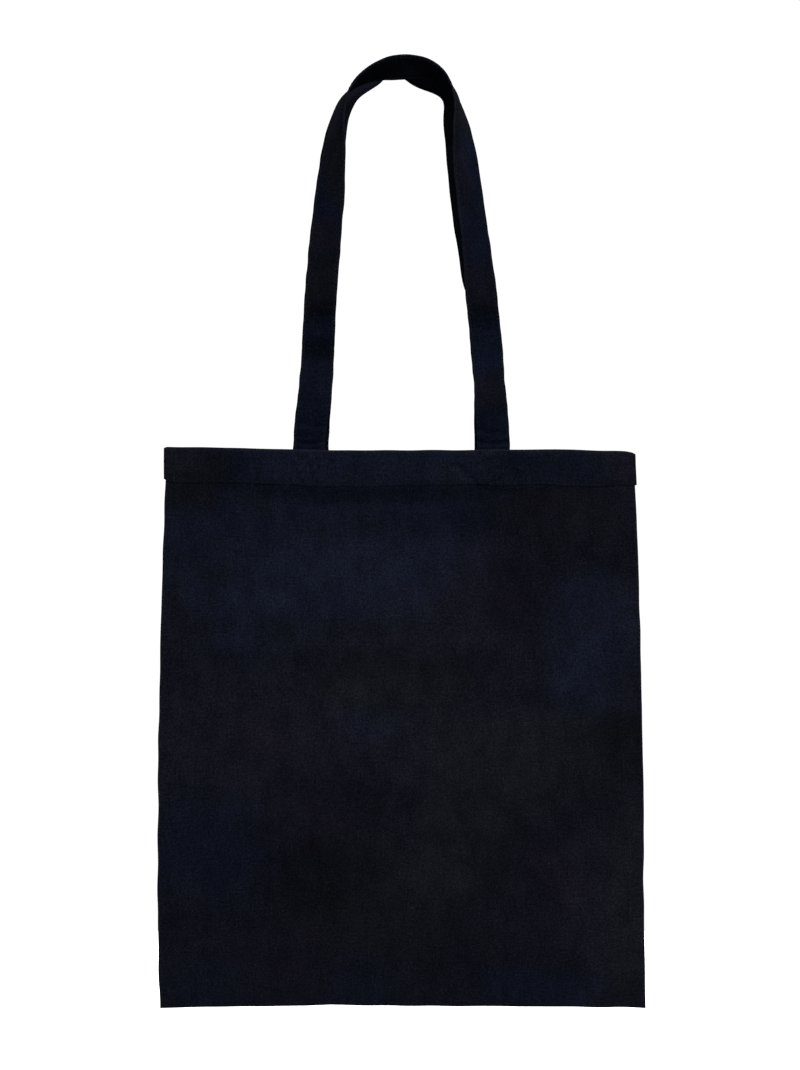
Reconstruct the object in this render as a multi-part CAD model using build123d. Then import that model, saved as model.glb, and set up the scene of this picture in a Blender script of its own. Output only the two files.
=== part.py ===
from build123d import *
import math
import os

# Canvas tote bag, hanging by its two long handles.
# Millimetres, +Z up, +X to the right of the front panel, front panel towards -Y.
# The origin is where the bag hangs from: the inside of the handle loops, at their top.

# --- driving dimensions ---
HANG_DROP = 723.0            # hanging point down to the bottom edge
BAG_HEIGHT = 433.4           # bottom edge up to the mouth
HALF_WIDTH_MOUTH = 183.0     # panels just under the hem
HALF_WIDTH_FOOT = 189.2      # panels at the bottom edge
SIDE_FLARE_POWER = 2.5       # how late the sides draw in towards the mouth
HEM_HEIGHT = 26.0            # depth of the turned-down mouth hem
HEM_OVERHANG = 1.4           # how far the bulky hem stands past the panel sides
HALF_DEPTH = 16.5            # outer face of a panel from the middle plane, at the mouth
SIDE_ROUNDING = 1.8          # lens shape of the bag seen from above
FULL_DEPTH_HEIGHT = 300.0    # height above which the panels keep that depth
FOOT_ROUNDING = 1.3          # how fully they round out above the bottom seam

# --- cloth ---
CANVAS = 0.9                 # one layer of canvas
HEM_THICKNESS = 2.4          # three layers, pressed
HEM_END_THICKNESS = 1.5      # the same layers, flattened into the side seams
HEM_PROUD = 0.3              # hem face in front of the panel face
SEAM_ALLOWANCE = 11.0        # width of cloth turned inside at the side and bottom seams
SEAM_HALF_THICKNESS = 0.8
PANEL_SEAM_Y = 0.9           # inner face of a panel where it meets a seam
FLAT_HALF_WIDTH = 90.0       # the mouth is flat across the handle bases

# --- handles ---
STRAP_WIDTH = 25.5
STRAP_THICKNESS = 1.8
STRAP_EDGE_INSET = 2.2       # sewn line from the strap's edge
TUCK_LENGTH = 29.0           # handle end held behind the hem
HINGE_GAP = 0.3              # clearance at the fold line of a handle

# --- how finely the curved cloth is laid out ---
STRAP_STATIONS = 96          # cross-sections along a handle
PANEL_SECTIONS = 16          # cross-sections up a panel, above its bottom seam
SIDE_SEAM_STEPS = 8          # points up a side seam
FLAT_STEPS = 5               # points across half the flat middle of a panel
ROUNDING_STEPS = 16          # points across its rounding
SEAM_STEPS = 4               # points across its seam allowance

# --- sewing thread ---
THREAD_WIDTH = 0.6
THREAD_RISE = 0.3
STITCH_LENGTH = 2.6
STITCH_PITCH = 3.4
STITCH_CLEARANCE = 0.06
STRAP_STITCH_CLEARANCE = 0.12
HEM_STITCH_UP = 2.2          # hem's sewn line above its lower edge
CROSS_BOX_WIDTH = 21.0       # reinforcement box with a cross, at each handle end
CROSS_BOX_HEIGHT = 19.0
TACK_HEIGHT = 8.0            # bar tack at each end of a hem
TACK_INSET = 6.5

# --- places worked out from the sizes above ---
FOOT_Z = -HANG_DROP
MOUTH_Z = FOOT_Z + BAG_HEIGHT
HEM_Z = MOUTH_Z - HEM_HEIGHT
HEM_FACE_Y = HALF_DEPTH + HEM_PROUD
HEM_BACK_Y = HEM_FACE_Y - HEM_THICKNESS
STRAP_Y = HEM_BACK_Y - STRAP_THICKNESS / 2
FRONT = -1
REAR = 1

# Handle centre lines, seen from the front, from the left end over the top to the right
# end: (x, height above the mouth, turn of the strap in degrees). The rear one lies a little
# inside the front one.
FRONT_LINE = (
    (-71.4, HINGE_GAP, 0), (-67.6, 40.0, 3), (-62.3, 118.0, 10), (-55.4, 194.0, 27),
    (-49.6, 248.1, 62), (-42.2, 275.8, 86), (-26.9, 290.1, 112), (2.8, 297.5, 136),
    (24.0, 294.9, 120), (40.3, 280.3, 89), (45.1, 260.7, 66), (49.5, 221.1, 37),
    (58.1, 157.5, 28), (63.6, 118.0, 25), (69.9, 40.0, 12), (72.3, HINGE_GAP, 0),
)
REAR_LINE = (
    (-69.2, HINGE_GAP, 0), (-66.8, 40.0, 3), (-62.7, 118.0, 10), (-55.8, 198.5, 26),
    (-50.2, 247.2, 52), (-39.1, 275.4, 64), (-17.6, 289.9, 74), (-1.0, 296.3, 105),
    (15.7, 292.9, 132), (33.3, 283.5, 122), (40.1, 260.3, 118), (37.9, 224.9, 96),
    (54.2, 160.0, 41), (62.6, 118.0, 25), (70.0, 40.0, 12), (70.3, HINGE_GAP, 0),
)


def half_width(z):
    """Half the width of a panel at height z: nearly straight, drawn in towards the mouth."""
    climb = (z - FOOT_Z) / (BAG_HEIGHT - HEM_HEIGHT)
    flare = (HALF_WIDTH_FOOT - HALF_WIDTH_MOUTH) * (1 - abs(climb) ** SIDE_FLARE_POWER)
    return HALF_WIDTH_MOUTH + flare


def side_fade(x, z):
    """1 across the flat middle of the bag, falling smoothly to 0 at the side seams."""
    inner_edge = half_width(z) - SEAM_ALLOWANCE
    across = (abs(x) - FLAT_HALF_WIDTH) / (inner_edge - FLAT_HALF_WIDTH)
    across = min(max(across, 0.0), 1.0)
    return math.cos(math.pi / 2 * across) ** SIDE_ROUNDING


def foot_fade(z):
    """0 along the bottom seam, rising smoothly to 1 where the bag has its full depth."""
    climb = (z - FOOT_Z - SEAM_ALLOWANCE) / (FULL_DEPTH_HEIGHT - SEAM_ALLOWANCE)
    climb = min(max(climb, 0.0), 1.0)
    return math.sin(math.pi / 2 * climb) ** FOOT_ROUNDING


def panel_inner_y(x, z):
    """Distance of a panel's inner face from the middle plane."""
    bulge = HALF_DEPTH - CANVAS - PANEL_SEAM_Y
    return PANEL_SEAM_Y + bulge * side_fade(x, z) * foot_fade(z)


def across_stations(z):
    """Places across half a panel at height z: its flat middle, its rounding and its seam."""
    inner_edge = half_width(z) - SEAM_ALLOWANCE
    curved = inner_edge - FLAT_HALF_WIDTH
    flat = [FLAT_HALF_WIDTH * k / FLAT_STEPS for k in range(FLAT_STEPS)]
    rounding = [FLAT_HALF_WIDTH + curved * k / ROUNDING_STEPS for k in range(ROUNDING_STEPS)]
    seam = [inner_edge + SEAM_ALLOWANCE * k / SEAM_STEPS for k in range(SEAM_STEPS + 1)]
    return flat + rounding + seam


def across_panel(z):
    """Places across a whole panel at height z, from its left side to its right."""
    right = across_stations(z)
    return [-x for x in reversed(right[1:])] + right


def panel_section(side, z):
    """Cut through one panel at height z, its curves marked off alike at every height."""
    across = across_panel(z)
    marks = [0.5 + 0.5 * x / HALF_WIDTH_MOUTH for x in across_panel(HEM_Z)]
    inner = [(x, side * panel_inner_y(x, z)) for x in across]
    outer = [(x, side * (panel_inner_y(x, z) + CANVAS)) for x in across]
    outline = Wire([
        Edge.make_spline(inner, parameters=marks),
        Line(inner[-1], outer[-1]),
        Edge.make_spline(outer, parameters=marks),
        Line(outer[0], inner[0]),
    ])
    return Pos(0, 0, z) * make_face(outline)


def panel(side):
    """One body panel: a single layer of canvas, pinched to its seams at the sides and bottom."""
    seam_top = FOOT_Z + SEAM_ALLOWANCE
    rise = HEM_Z - seam_top
    heights = [FOOT_Z, FOOT_Z + SEAM_ALLOWANCE / 2]
    heights += [seam_top + rise * k / PANEL_SECTIONS for k in range(PANEL_SECTIONS + 1)]
    return loft([panel_section(side, z) for z in heights])


def hem_face_y(x):
    """Outer face of a hem from the middle plane."""
    end_y = PANEL_SEAM_Y + HEM_END_THICKNESS
    return end_y + (HEM_FACE_Y - end_y) * side_fade(x, HEM_Z)


def hem_back_y(x):
    """Inner face of a hem from the middle plane."""
    return PANEL_SEAM_Y + (HEM_BACK_Y - PANEL_SEAM_Y) * side_fade(x, HEM_Z)


def hem_outline(side, depth_at):
    """Points across the mouth along one face of a hem."""
    xs = [x for x in across_stations(HEM_Z) if x >= FLAT_HALF_WIDTH]
    xs[-1] = HALF_WIDTH_MOUTH + HEM_OVERHANG
    return [(x, side * depth_at(x)) for x in xs]


def mirrored(points):
    """The same points on the other side of the bag's middle, in the opposite order."""
    return [(-x, y) for x, y in reversed(points)]


def hem(side):
    """Mouth hem of one panel: the top of the canvas turned twice to the inside."""
    right_face = hem_outline(side, hem_face_y)
    right_back = hem_outline(side, hem_back_y)
    left_face = mirrored(right_face)
    left_back = mirrored(right_back)
    outline = Wire([
        Spline(*right_face),
        Line(right_face[-1], right_back[-1]),
        Spline(*right_back),
        Line(right_back[0], left_back[-1]),
        Spline(*left_back),
        Line(left_back[0], left_face[0]),
        Spline(*left_face),
        Line(left_face[-1], right_face[0]),
    ])
    return Pos(0, 0, HEM_Z) * extrude(make_face(outline), HEM_HEIGHT)


def side_seam(hand):
    """Raw edges of both panels, turned inside along one side from the bottom seam to the mouth."""
    foot = FOOT_Z + SEAM_ALLOWANCE
    rise = HEM_Z - foot
    heights = [foot + rise * k / SIDE_SEAM_STEPS for k in range(SIDE_SEAM_STEPS + 1)]
    outer = [(hand * half_width(z), z) for z in heights]
    top = (hand * HALF_WIDTH_MOUTH, MOUTH_Z)
    inner_top = (hand * (HALF_WIDTH_MOUTH - SEAM_ALLOWANCE), MOUTH_Z)
    inner = [(hand * (half_width(z) - SEAM_ALLOWANCE), z) for z in reversed(heights)]
    outline = Wire([
        Spline(*outer),
        Line(outer[-1], top),
        Line(top, inner_top),
        Line(inner_top, inner[0]),
        Spline(*inner),
        Line(inner[-1], outer[0]),
    ])
    flat = Plane.XZ * make_face(outline)
    return extrude(flat, SEAM_HALF_THICKNESS, both=True)


def bottom_seam():
    """Raw edges of both panels, turned inside along the bottom."""
    width = 2 * half_width(FOOT_Z)
    strip = Box(width, 2 * SEAM_HALF_THICKNESS, SEAM_ALLOWANCE - HINGE_GAP)
    return Pos(0, 0, FOOT_Z + (SEAM_ALLOWANCE - HINGE_GAP) / 2) * strip


def strap_end(side, x):
    """End of a handle held behind the hem."""
    end = Box(STRAP_WIDTH, STRAP_THICKNESS, TUCK_LENGTH)
    return Pos(x, side * STRAP_Y, MOUTH_Z - TUCK_LENGTH / 2) * end


class StrapPath:
    """Centre line of a handle with the turn of the strap about it.

    The strap faces forward at its ends. It turns as it rises, inner edge towards the viewer,
    until it has rolled past edge-on at the top of the loop.
    """

    def __init__(self, line, y):
        points = [(x, y, MOUTH_Z + up) for x, up, _ in line]
        self.edge = Spline(*points, tangents=[(0, 0, 1), (0, 0, -1)])
        self.turns = [math.radians(turn) for _, _, turn in line]
        travelled = [0.0]
        for ahead, behind in zip(points[1:], points):
            travelled.append(travelled[-1] + math.dist(ahead, behind))
        self.marks = [distance / travelled[-1] for distance in travelled]

    def turn_rate(self, k):
        """Change of the turn with the fraction travelled, at a point of the line."""
        if k in (0, len(self.marks) - 1):
            return 0.0
        before = self.marks[k] - self.marks[k - 1]
        after = self.marks[k + 1] - self.marks[k]
        rate_before = (self.turns[k] - self.turns[k - 1]) / before
        rate_after = (self.turns[k + 1] - self.turns[k]) / after
        return (rate_before * after + rate_after * before) / (before + after)

    def turn(self, fraction):
        """Turn of the strap, in radians, at a fraction of the handle's length."""
        k = max(i for i, mark in enumerate(self.marks[:-1]) if fraction >= mark)
        gap = self.marks[k + 1] - self.marks[k]
        t = (fraction - self.marks[k]) / gap
        turn = self.turns[k] + (self.turns[k + 1] - self.turns[k]) * t * t * (3 - 2 * t)
        turn += self.turn_rate(k) * gap * t * (1 - t) ** 2
        return turn - self.turn_rate(k + 1) * gap * t * t * (1 - t)

    def plane(self, fraction):
        """Plane across the strap: x along its width, y along its thickness."""
        along = self.edge % fraction
        forward = Vector(0, -1, 0)
        inward = along.cross(forward)
        turn = self.turn(fraction)
        width_way = inward * math.cos(turn) + forward * math.sin(turn)
        return Plane(origin=self.edge @ fraction, x_dir=width_way, z_dir=along)


def lofted(path, width, thickness, shift_x=0.0, shift_y=0.0):
    """A flat bar of the given section that follows a handle, set off from its centre line."""
    sections = []
    for k in range(STRAP_STATIONS + 1):
        place = path.plane(k / STRAP_STATIONS) * Pos(shift_x, shift_y)
        sections.append(place * Rectangle(width, thickness))
    return loft(sections)


def strap_thread(path):
    """Sewn lines along both edges of a handle, on both faces."""
    lines = []
    across = STRAP_WIDTH / 2 - STRAP_EDGE_INSET
    off_face = STRAP_THICKNESS / 2 + THREAD_RISE / 2 + STRAP_STITCH_CLEARANCE
    for edge in (-1, 1):
        for face in (-1, 1):
            lines.append(lofted(path, THREAD_WIDTH, THREAD_RISE, edge * across, face * off_face))
    return Compound(children=lines)


def hem_thread(side):
    """Row of stitches along the lower edge of a hem."""
    reach = HALF_WIDTH_MOUTH - TACK_INSET - STITCH_PITCH
    count = int(2 * reach / STITCH_PITCH)
    z = HEM_Z + HEM_STITCH_UP
    stitches = []
    for k in range(count):
        x = (k - (count - 1) / 2) * STITCH_PITCH
        ahead = hem_face_y(x + STITCH_LENGTH / 2)
        behind = hem_face_y(x - STITCH_LENGTH / 2)
        slope = math.degrees(math.atan2(side * (ahead - behind), STITCH_LENGTH))
        y = hem_face_y(x) + THREAD_RISE / 2 + STITCH_CLEARANCE
        stitch = Box(STITCH_LENGTH, THREAD_RISE, THREAD_WIDTH)
        stitches.append(Pos(x, side * y, z) * Rot(0, 0, slope) * stitch)
    return Compound(children=stitches)


def cross_thread(side, x):
    """Box with a cross, sewn through the hem and a handle end."""
    wide = CROSS_BOX_WIDTH / 2
    high = CROSS_BOX_HEIGHT / 2
    slant = math.degrees(math.atan2(high, wide))
    slant_length = 2 * math.hypot(wide, high)
    level = Box(2 * wide + THREAD_WIDTH, THREAD_RISE, THREAD_WIDTH)
    upright = Box(THREAD_WIDTH, THREAD_RISE, 2 * high + THREAD_WIDTH)
    diagonal = Box(slant_length, THREAD_RISE, THREAD_WIDTH)
    shape = Pos(0, 0, high) * level + Pos(0, 0, -high) * level
    shape += Pos(wide, 0, 0) * upright
    shape += Pos(-wide, 0, 0) * upright
    shape += Rot(0, slant, 0) * diagonal
    shape += Rot(0, -slant, 0) * diagonal
    y = HEM_FACE_Y + THREAD_RISE / 2 + STITCH_CLEARANCE
    return Pos(x, side * y, MOUTH_Z - HEM_HEIGHT / 2) * shape


def end_tacks(side):
    """Short bar of thread at each end of a hem, over the side seam."""
    tacks = []
    x = HALF_WIDTH_MOUTH - TACK_INSET
    y = hem_face_y(x) + THREAD_RISE / 2 + STITCH_CLEARANCE
    for hand in (-1, 1):
        bar = Box(2 * THREAD_WIDTH, THREAD_RISE, TACK_HEIGHT)
        tacks.append(Pos(hand * x, side * y, HEM_Z + TACK_HEIGHT / 2) * bar)
    return Compound(children=tacks)


def save(shape, name):
    """Write one sub-part."""
    export_step(shape, f"parts/{name}.step")
    print(name, round(shape.volume, 1))


def main():
    """Build every sub-part and write it under its own name."""
    os.makedirs("parts", exist_ok=True)
    for side, name, line in ((FRONT, "front", FRONT_LINE), (REAR, "rear", REAR_LINE)):
        save(panel(side), f"{name}_panel")
        save(hem(side), f"{name}_hem")
        save(hem_thread(side), f"{name}_hem_stitching")
        save(end_tacks(side), f"{name}_hem_end_tacks")
        path = StrapPath(line, side * STRAP_Y)
        save(lofted(path, STRAP_WIDTH, STRAP_THICKNESS), f"{name}_strap")
        save(strap_thread(path), f"{name}_strap_stitching")
        for hand, x in (("left", line[0][0]), ("right", line[-1][0])):
            save(strap_end(side, x), f"{name}_{hand}_strap_end")
            save(cross_thread(side, x), f"{name}_{hand}_cross_stitching")
        print(name, "handle length", round(path.edge.length, 1))
    save(side_seam(-1), "left_side_seam")
    save(side_seam(1), "right_side_seam")
    save(bottom_seam(), "bottom_seam")


main()
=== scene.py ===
"""Canvas tote bag, hanging by its two long handles.

Lengths are in metres, +Z is up and the front panel faces -Y. The origin is where the bag
hangs from, inside the top of the handle loops.
"""

import logging
import math
from collections.abc import Callable, Sequence
from dataclasses import dataclass, field
from enum import Enum
from typing import ClassVar

import bpy
import numpy as np
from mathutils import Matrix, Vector


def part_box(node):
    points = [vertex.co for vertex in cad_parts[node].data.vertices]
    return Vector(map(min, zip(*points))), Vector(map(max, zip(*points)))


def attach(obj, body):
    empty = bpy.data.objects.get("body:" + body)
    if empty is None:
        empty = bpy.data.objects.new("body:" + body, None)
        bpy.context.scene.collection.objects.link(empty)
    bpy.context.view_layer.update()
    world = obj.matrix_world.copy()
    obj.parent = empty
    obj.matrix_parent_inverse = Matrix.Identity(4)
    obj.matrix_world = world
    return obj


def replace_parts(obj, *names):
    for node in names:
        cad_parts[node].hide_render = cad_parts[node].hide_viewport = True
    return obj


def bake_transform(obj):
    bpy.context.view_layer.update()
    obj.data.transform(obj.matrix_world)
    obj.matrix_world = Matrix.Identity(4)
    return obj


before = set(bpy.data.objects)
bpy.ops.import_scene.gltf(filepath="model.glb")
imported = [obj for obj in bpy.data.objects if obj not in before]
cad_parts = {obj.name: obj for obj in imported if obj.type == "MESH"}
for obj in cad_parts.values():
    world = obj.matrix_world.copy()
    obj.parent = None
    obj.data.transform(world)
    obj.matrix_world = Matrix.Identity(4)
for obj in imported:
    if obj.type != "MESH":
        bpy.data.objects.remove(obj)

LOG = logging.getLogger("tote_bag")
MM = 0.001
CLOTH_MAP = "cloth"  # UV map: places on the flat cloth, in metres
# The wear attribute also marks where canvas edges are painted pale: rubbed wear and a painted rim
# highlight.
WEAR_AND_RIM_LIGHT = "wear"  # point attribute: 1 where cloth is folded or rubbed
BOX_HALF = (10.5 * MM, 9.5 * MM)  # half the width and height of the box over a handle end
UPWARDS = np.array([0.0, 0.0, 1.0])

Colour = tuple[float, float, float]
Point = tuple[float, float, float]
Span = tuple[float, float]
Row = tuple[float, ...]
Array = np.ndarray


class Place(Enum):
    """A part of the bag that pieces are named after."""

    @property
    def label(self) -> str:
        """The name as pieces use it."""
        return self.name.lower()


class Side(Place):
    """Front or rear of the bag. The value is the way that side faces along Y."""

    FRONT = -1
    REAR = 1


class Hand(Place):
    """Left or right, seen from the front. The value is the way along X."""

    LEFT = -1
    RIGHT = 1


class Dye(Enum):
    """Which uneven dyeing and painted light and shade a canvas shows. Its value names a shader group."""

    BODY = "body_dye"
    STRAP = "strap_dye"


class Weave(Enum):
    """Canvas weights: the pitch of the threads, in metres."""

    BODY = 0.80 * MM
    STRAP = 0.72 * MM


# ---------------------------------------------------------------- shared geometry


class Ripples:
    """Smooth, repeatable unevenness: a sum of waves at random angles, of unit strength."""

    def __init__(self, seed: int, shortest: float, longest: float, count: int = 16) -> None:
        """Draw the waves.

        Args:
            seed: Start of the random draws.
            shortest: Shortest wavelength, in metres.
            longest: Longest wavelength, in metres.
            count: Number of waves.
        """
        rng = np.random.default_rng(seed)
        length = np.exp(rng.uniform(math.log(shortest), math.log(longest), count))
        angle = rng.uniform(0, math.tau, count)
        self.across = math.tau * np.cos(angle) / length
        self.up = math.tau * np.sin(angle) / length
        self.phase = rng.uniform(0, math.tau, count)
        self.gain = math.sqrt(2 / count)

    def at(self, x: Array, z: Array) -> Array:
        """Read the unevenness.

        Args:
            x: Places across, in metres.
            z: Places up, in metres.

        Returns:
            Values that mostly lie between -2 and 2.
        """
        total = np.zeros(np.broadcast(x, z).shape)
        for a, b, c in zip(self.across, self.up, self.phase):
            total += np.cos(a * x + b * z + c)
        return total * self.gain


def unit(ways: Array) -> Array:
    """The same directions, each of length 1."""
    return ways / np.linalg.norm(ways, axis=1)[:, None]


class SmoothLine:
    """A smooth curve through points, with its end directions given."""

    SAMPLES: ClassVar[int] = 3000  # places at which the distance travelled is measured
    HALF_RUN: ClassVar[float] = 0.2 * MM  # how far either way a direction is read

    def __init__(self, points: Sequence[Sequence[float]], start: Point, end: Point) -> None:
        """Solve the curve and measure it.

        Args:
            points: Points on the curve, in metres.
            start: Direction of travel at the first point.
            end: Direction of travel at the last point.
        """
        self.knots = np.array(points, float)
        gaps = np.linalg.norm(np.diff(self.knots, axis=0), axis=1)
        self.marks = np.concatenate([[0.0], np.cumsum(gaps)])
        self.bends = self._solve(gaps, np.array(start, float), np.array(end, float))
        fine = np.linspace(0, self.marks[-1], self.SAMPLES)
        places = self._read(fine)
        steps = np.linalg.norm(np.diff(places, axis=0), axis=1)
        self._fine = fine
        self._travelled = np.concatenate([[0.0], np.cumsum(steps)])
        self.length = float(self._travelled[-1])

    def _solve(self, gaps: Array, start: Array, end: Array) -> Array:
        """Second derivatives at the knots.

        Args:
            gaps: Distances between neighbouring knots.
            start: Direction at the first knot.
            end: Direction at the last knot.

        Returns:
            One row for each knot.
        """
        count = len(self.knots)
        matrix = np.zeros((count, count))
        right = np.zeros((count, 3))
        slopes = np.diff(self.knots, axis=0) / gaps[:, None]
        matrix[0, :2] = [2 * gaps[0], gaps[0]]
        right[0] = 6 * (slopes[0] - start)
        matrix[-1, -2:] = [gaps[-1], 2 * gaps[-1]]
        right[-1] = 6 * (end - slopes[-1])
        for i in range(1, count - 1):
            matrix[i, i - 1 : i + 2] = [gaps[i - 1], 2 * (gaps[i - 1] + gaps[i]), gaps[i]]
            right[i] = 6 * (slopes[i] - slopes[i - 1])
        return np.linalg.solve(matrix, right)

    def _read(self, mark: Array) -> Array:
        """Points on the curve at parameter values.

        Args:
            mark: Parameter values along the knots.

        Returns:
            One point for each value.
        """
        i = np.clip(np.searchsorted(self.marks, mark) - 1, 0, len(self.marks) - 2)
        gap = (self.marks[i + 1] - self.marks[i])[:, None]
        ahead = (self.marks[i + 1][:, None] - mark[:, None]) / gap
        behind = 1 - ahead
        bend = (ahead**3 - ahead) * self.bends[i] + (behind**3 - behind) * self.bends[i + 1]
        return ahead * self.knots[i] + behind * self.knots[i + 1] + bend * gap**2 / 6

    def at(self, distance: Array) -> Array:
        """Points at distances travelled from the start.

        Args:
            distance: Distances, in metres.

        Returns:
            One point for each distance.
        """
        return self._read(np.interp(distance, self._travelled, self._fine))

    def along(self, distance: Array) -> Array:
        """Directions of travel at distances from the start.

        Args:
            distance: Distances, in metres.

        Returns:
            One unit vector for each distance.
        """
        low = np.clip(distance - self.HALF_RUN, 0, self.length)
        high = np.clip(distance + self.HALF_RUN, 0, self.length)
        return unit(self.at(high) - self.at(low))


def bump(value: Array, centre: float, width: float) -> Array:
    """A smooth hump of height 1 at centre that falls away over width."""
    return np.exp(-(((value - centre) / width) ** 2))


def ease(value: Array, low: float, high: float) -> Array:
    """0 below low, 1 above high, and smooth between."""
    t = np.clip((value - low) / (high - low), 0, 1)
    return t * t * (3 - 2 * t)


def box_lines(x: float, z: float) -> list[tuple[Span, Span]]:
    """Seam lines that hold a handle end: a box with a cross.

    Args:
        x: Middle of the box across.
        z: Middle of the box in height.

    Returns:
        The two ends of each line.
    """
    wide, high = BOX_HALF
    corners = [(x - wide, z - high), (x + wide, z - high), (x + wide, z + high), (x - wide, z + high)]
    sides = zip(corners, corners[1:] + corners[:1])
    return [*sides, (corners[0], corners[2]), (corners[1], corners[3])]


def grid_faces(rows: int, columns: int, start: int = 0, closed: bool = False) -> Array:
    """Quads of a grid of points stored row by row.

    Args:
        rows: Number of rows.
        columns: Points in a row.
        start: Index of the first point.
        closed: Whether each row's last point joins its first.

    Returns:
        An array of four indices for each face.
    """
    wide = columns if closed else columns - 1
    i, j = np.meshgrid(np.arange(rows - 1), np.arange(wide), indexing="ij")
    k = (j + 1) % columns
    first = start + i * columns
    quads = np.stack([first + j, first + k, first + columns + k, first + columns + j], axis=-1)
    return quads.reshape(-1, 4)


def tube_faces(rings: int, sides: int) -> list[list[int]]:
    """Faces of a tube that is closed at both ends.

    Args:
        rings: Number of rings of points.
        sides: Points in a ring.

    Returns:
        The indices of each face.
    """
    last = (rings - 1) * sides
    ends = [list(range(sides))[::-1], list(range(last, last + sides))]
    return grid_faces(rings, sides, closed=True).tolist() + ends


def make_mesh(
    name: str,
    points: Array,
    faces: Sequence[Sequence[int]],
    cloth: Array,
    wear: Array | None = None,
) -> bpy.types.Object:
    """Make a shaded mesh object with its places on the cloth.

    Args:
        name: Name of the piece.
        points: The x, y and z of each vertex, in an array of any number of rows.
        faces: Vertex indices of each face.
        cloth: Place of each vertex on the flat cloth, in metres.
        wear: How rubbed each vertex is, from 0 to 1. On canvas it is painted pale, for wear
            and for a painted rim highlight.

    Returns:
        The new object.
    """
    points, cloth = points.reshape(-1, 3), cloth.reshape(-1, 2)
    mesh = bpy.data.meshes.new(name)
    mesh.from_pydata(points.tolist(), [], [list(map(int, f)) for f in faces])
    mesh.validate()
    corners = np.zeros(len(mesh.loops), np.int32)
    mesh.loops.foreach_get("vertex_index", corners)
    layer = mesh.uv_layers.new(name=CLOTH_MAP)
    layer.uv.foreach_set("vector", cloth[corners].astype(np.float32).ravel())
    rubbed = mesh.attributes.new(WEAR_AND_RIM_LIGHT, "FLOAT", "POINT")
    amount = np.zeros(len(points)) if wear is None else np.clip(wear, 0, 1)
    rubbed.data.foreach_set("value", amount.astype(np.float32).ravel())
    mesh.shade_smooth()
    mesh.update()
    piece = bpy.data.objects.new(name, mesh)
    bpy.context.scene.collection.objects.link(piece)
    return piece


@dataclass
class StitchRow:
    """Stitches to be sewn: places, directions along the seam and out of the cloth."""

    at: Array
    along: Array
    out: Array
    length: float = 2.6 * MM

    @classmethod
    def chained(cls, rows: "Sequence[StitchRow]") -> "StitchRow":
        """One row with the stitches of several, in their order."""
        parts = zip(*((row.at, row.along, row.out) for row in rows))
        return cls(*map(np.concatenate, parts), rows[0].length)


@dataclass
class Thread:
    """Sewing thread that shows as a row of short, arched stitches."""

    radius: float = 0.30 * MM
    arch: float = 0.22 * MM
    flatness: float = 0.8
    least_girth: float = 0.05
    turn_spread: float = 0.035
    length_spread: float = 0.04
    side_spread: float = 0.05 * MM
    rings: int = 6
    sides: int = 7

    def sew(self, name: str, row: StitchRow, seed: int, rubbed: float = 0.08) -> bpy.types.Object:
        """Build every stitch of a row as a small arched tube.

        Args:
            name: Name of the piece.
            row: Where the stitches lie.
            seed: Start of the random draws that make them uneven.
            rubbed: How many of the stitches are worn pale, from 0 to 1.

        Returns:
            One object with all the stitches.
        """
        rng = np.random.default_rng(seed)
        count = len(row.at)
        beside = np.cross(row.out, row.along)
        turn = rng.normal(0, self.turn_spread, count)[:, None]
        along = row.along * np.cos(turn) + beside * np.sin(turn)
        beside = np.cross(row.out, along)
        length = row.length * (1 + rng.normal(0, self.length_spread, count))[:, None]
        centre = row.at + beside * rng.normal(0, self.side_spread, count)[:, None]
        travel = np.linspace(-0.5, 0.5, self.rings)
        girth = np.sqrt(np.clip(1 - (2 * np.abs(travel)) ** 4, self.least_girth, 1))
        lift = self.arch * np.cos(math.pi * travel)
        angle = np.arange(self.sides) * math.tau / self.sides
        points, cloth = [], []
        for t, g, h in zip(travel, girth, lift):
            middle = centre + along * length * t + row.out * h
            for a in angle:
                side_way = beside * math.cos(a) + row.out * math.sin(a) * self.flatness
                points.append(middle + side_way * self.radius * g)
                cloth.append(np.stack([np.full(count, a), t + np.arange(count)], axis=1))
        points = np.stack(points, axis=1)
        cloth = np.stack(cloth, axis=1)
        tube = tube_faces(self.rings, self.sides)
        per_stitch = self.rings * self.sides
        faces = [[v + k * per_stitch for v in face] for k in range(count) for face in tube]
        worn = np.repeat(rng.random(count) ** (1 / max(rubbed, 0.01) - 1), per_stitch)
        return make_mesh(name, points, faces, cloth * MM, worn)


# ---------------------------------------------------------------- form of the bag


# Centre line of each handle: x and height above the mouth in millimetres, turn in degrees.
LINES = {
    Side.FRONT: (
        (-71.4, 0.3, 0), (-67.6, 40.0, 3), (-62.3, 118.0, 10), (-55.4, 194.0, 27),
        (-49.6, 248.1, 62), (-42.2, 275.8, 86), (-26.9, 290.1, 112), (2.8, 297.5, 136),
        (24.2, 294.6, 121), (39.9, 279.7, 93), (46.4, 257.3, 67), (50.8, 221.0, 41),
        (58.9, 157.5, 31), (62.3, 124.3, 15), (65.5, 93.0, 10), (69.9, 40.0, 12), (72.3, 0.3, 0),
    ),
    Side.REAR: (
        (-69.2, 0.3, 0), (-66.8, 40.0, 3), (-62.7, 118.0, 10), (-55.8, 198.5, 26),
        (-50.2, 247.2, 52), (-39.1, 275.4, 64), (-17.6, 289.9, 74), (-1.0, 296.3, 105),
        (13.2, 292.4, 128), (27.2, 286.2, 124), (37.0, 277.8, 115), (40.6, 257.7, 122),
        (40.3, 226.6, 107), (43.9, 184.2, 102), (49.0, 152.1, 104), (53.4, 128.0, 104),
        (59.6, 104.0, 78), (64.8, 80.0, 52), (68.4, 54.0, 29), (70.3, 0.3, 0),
    ),
}


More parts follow.
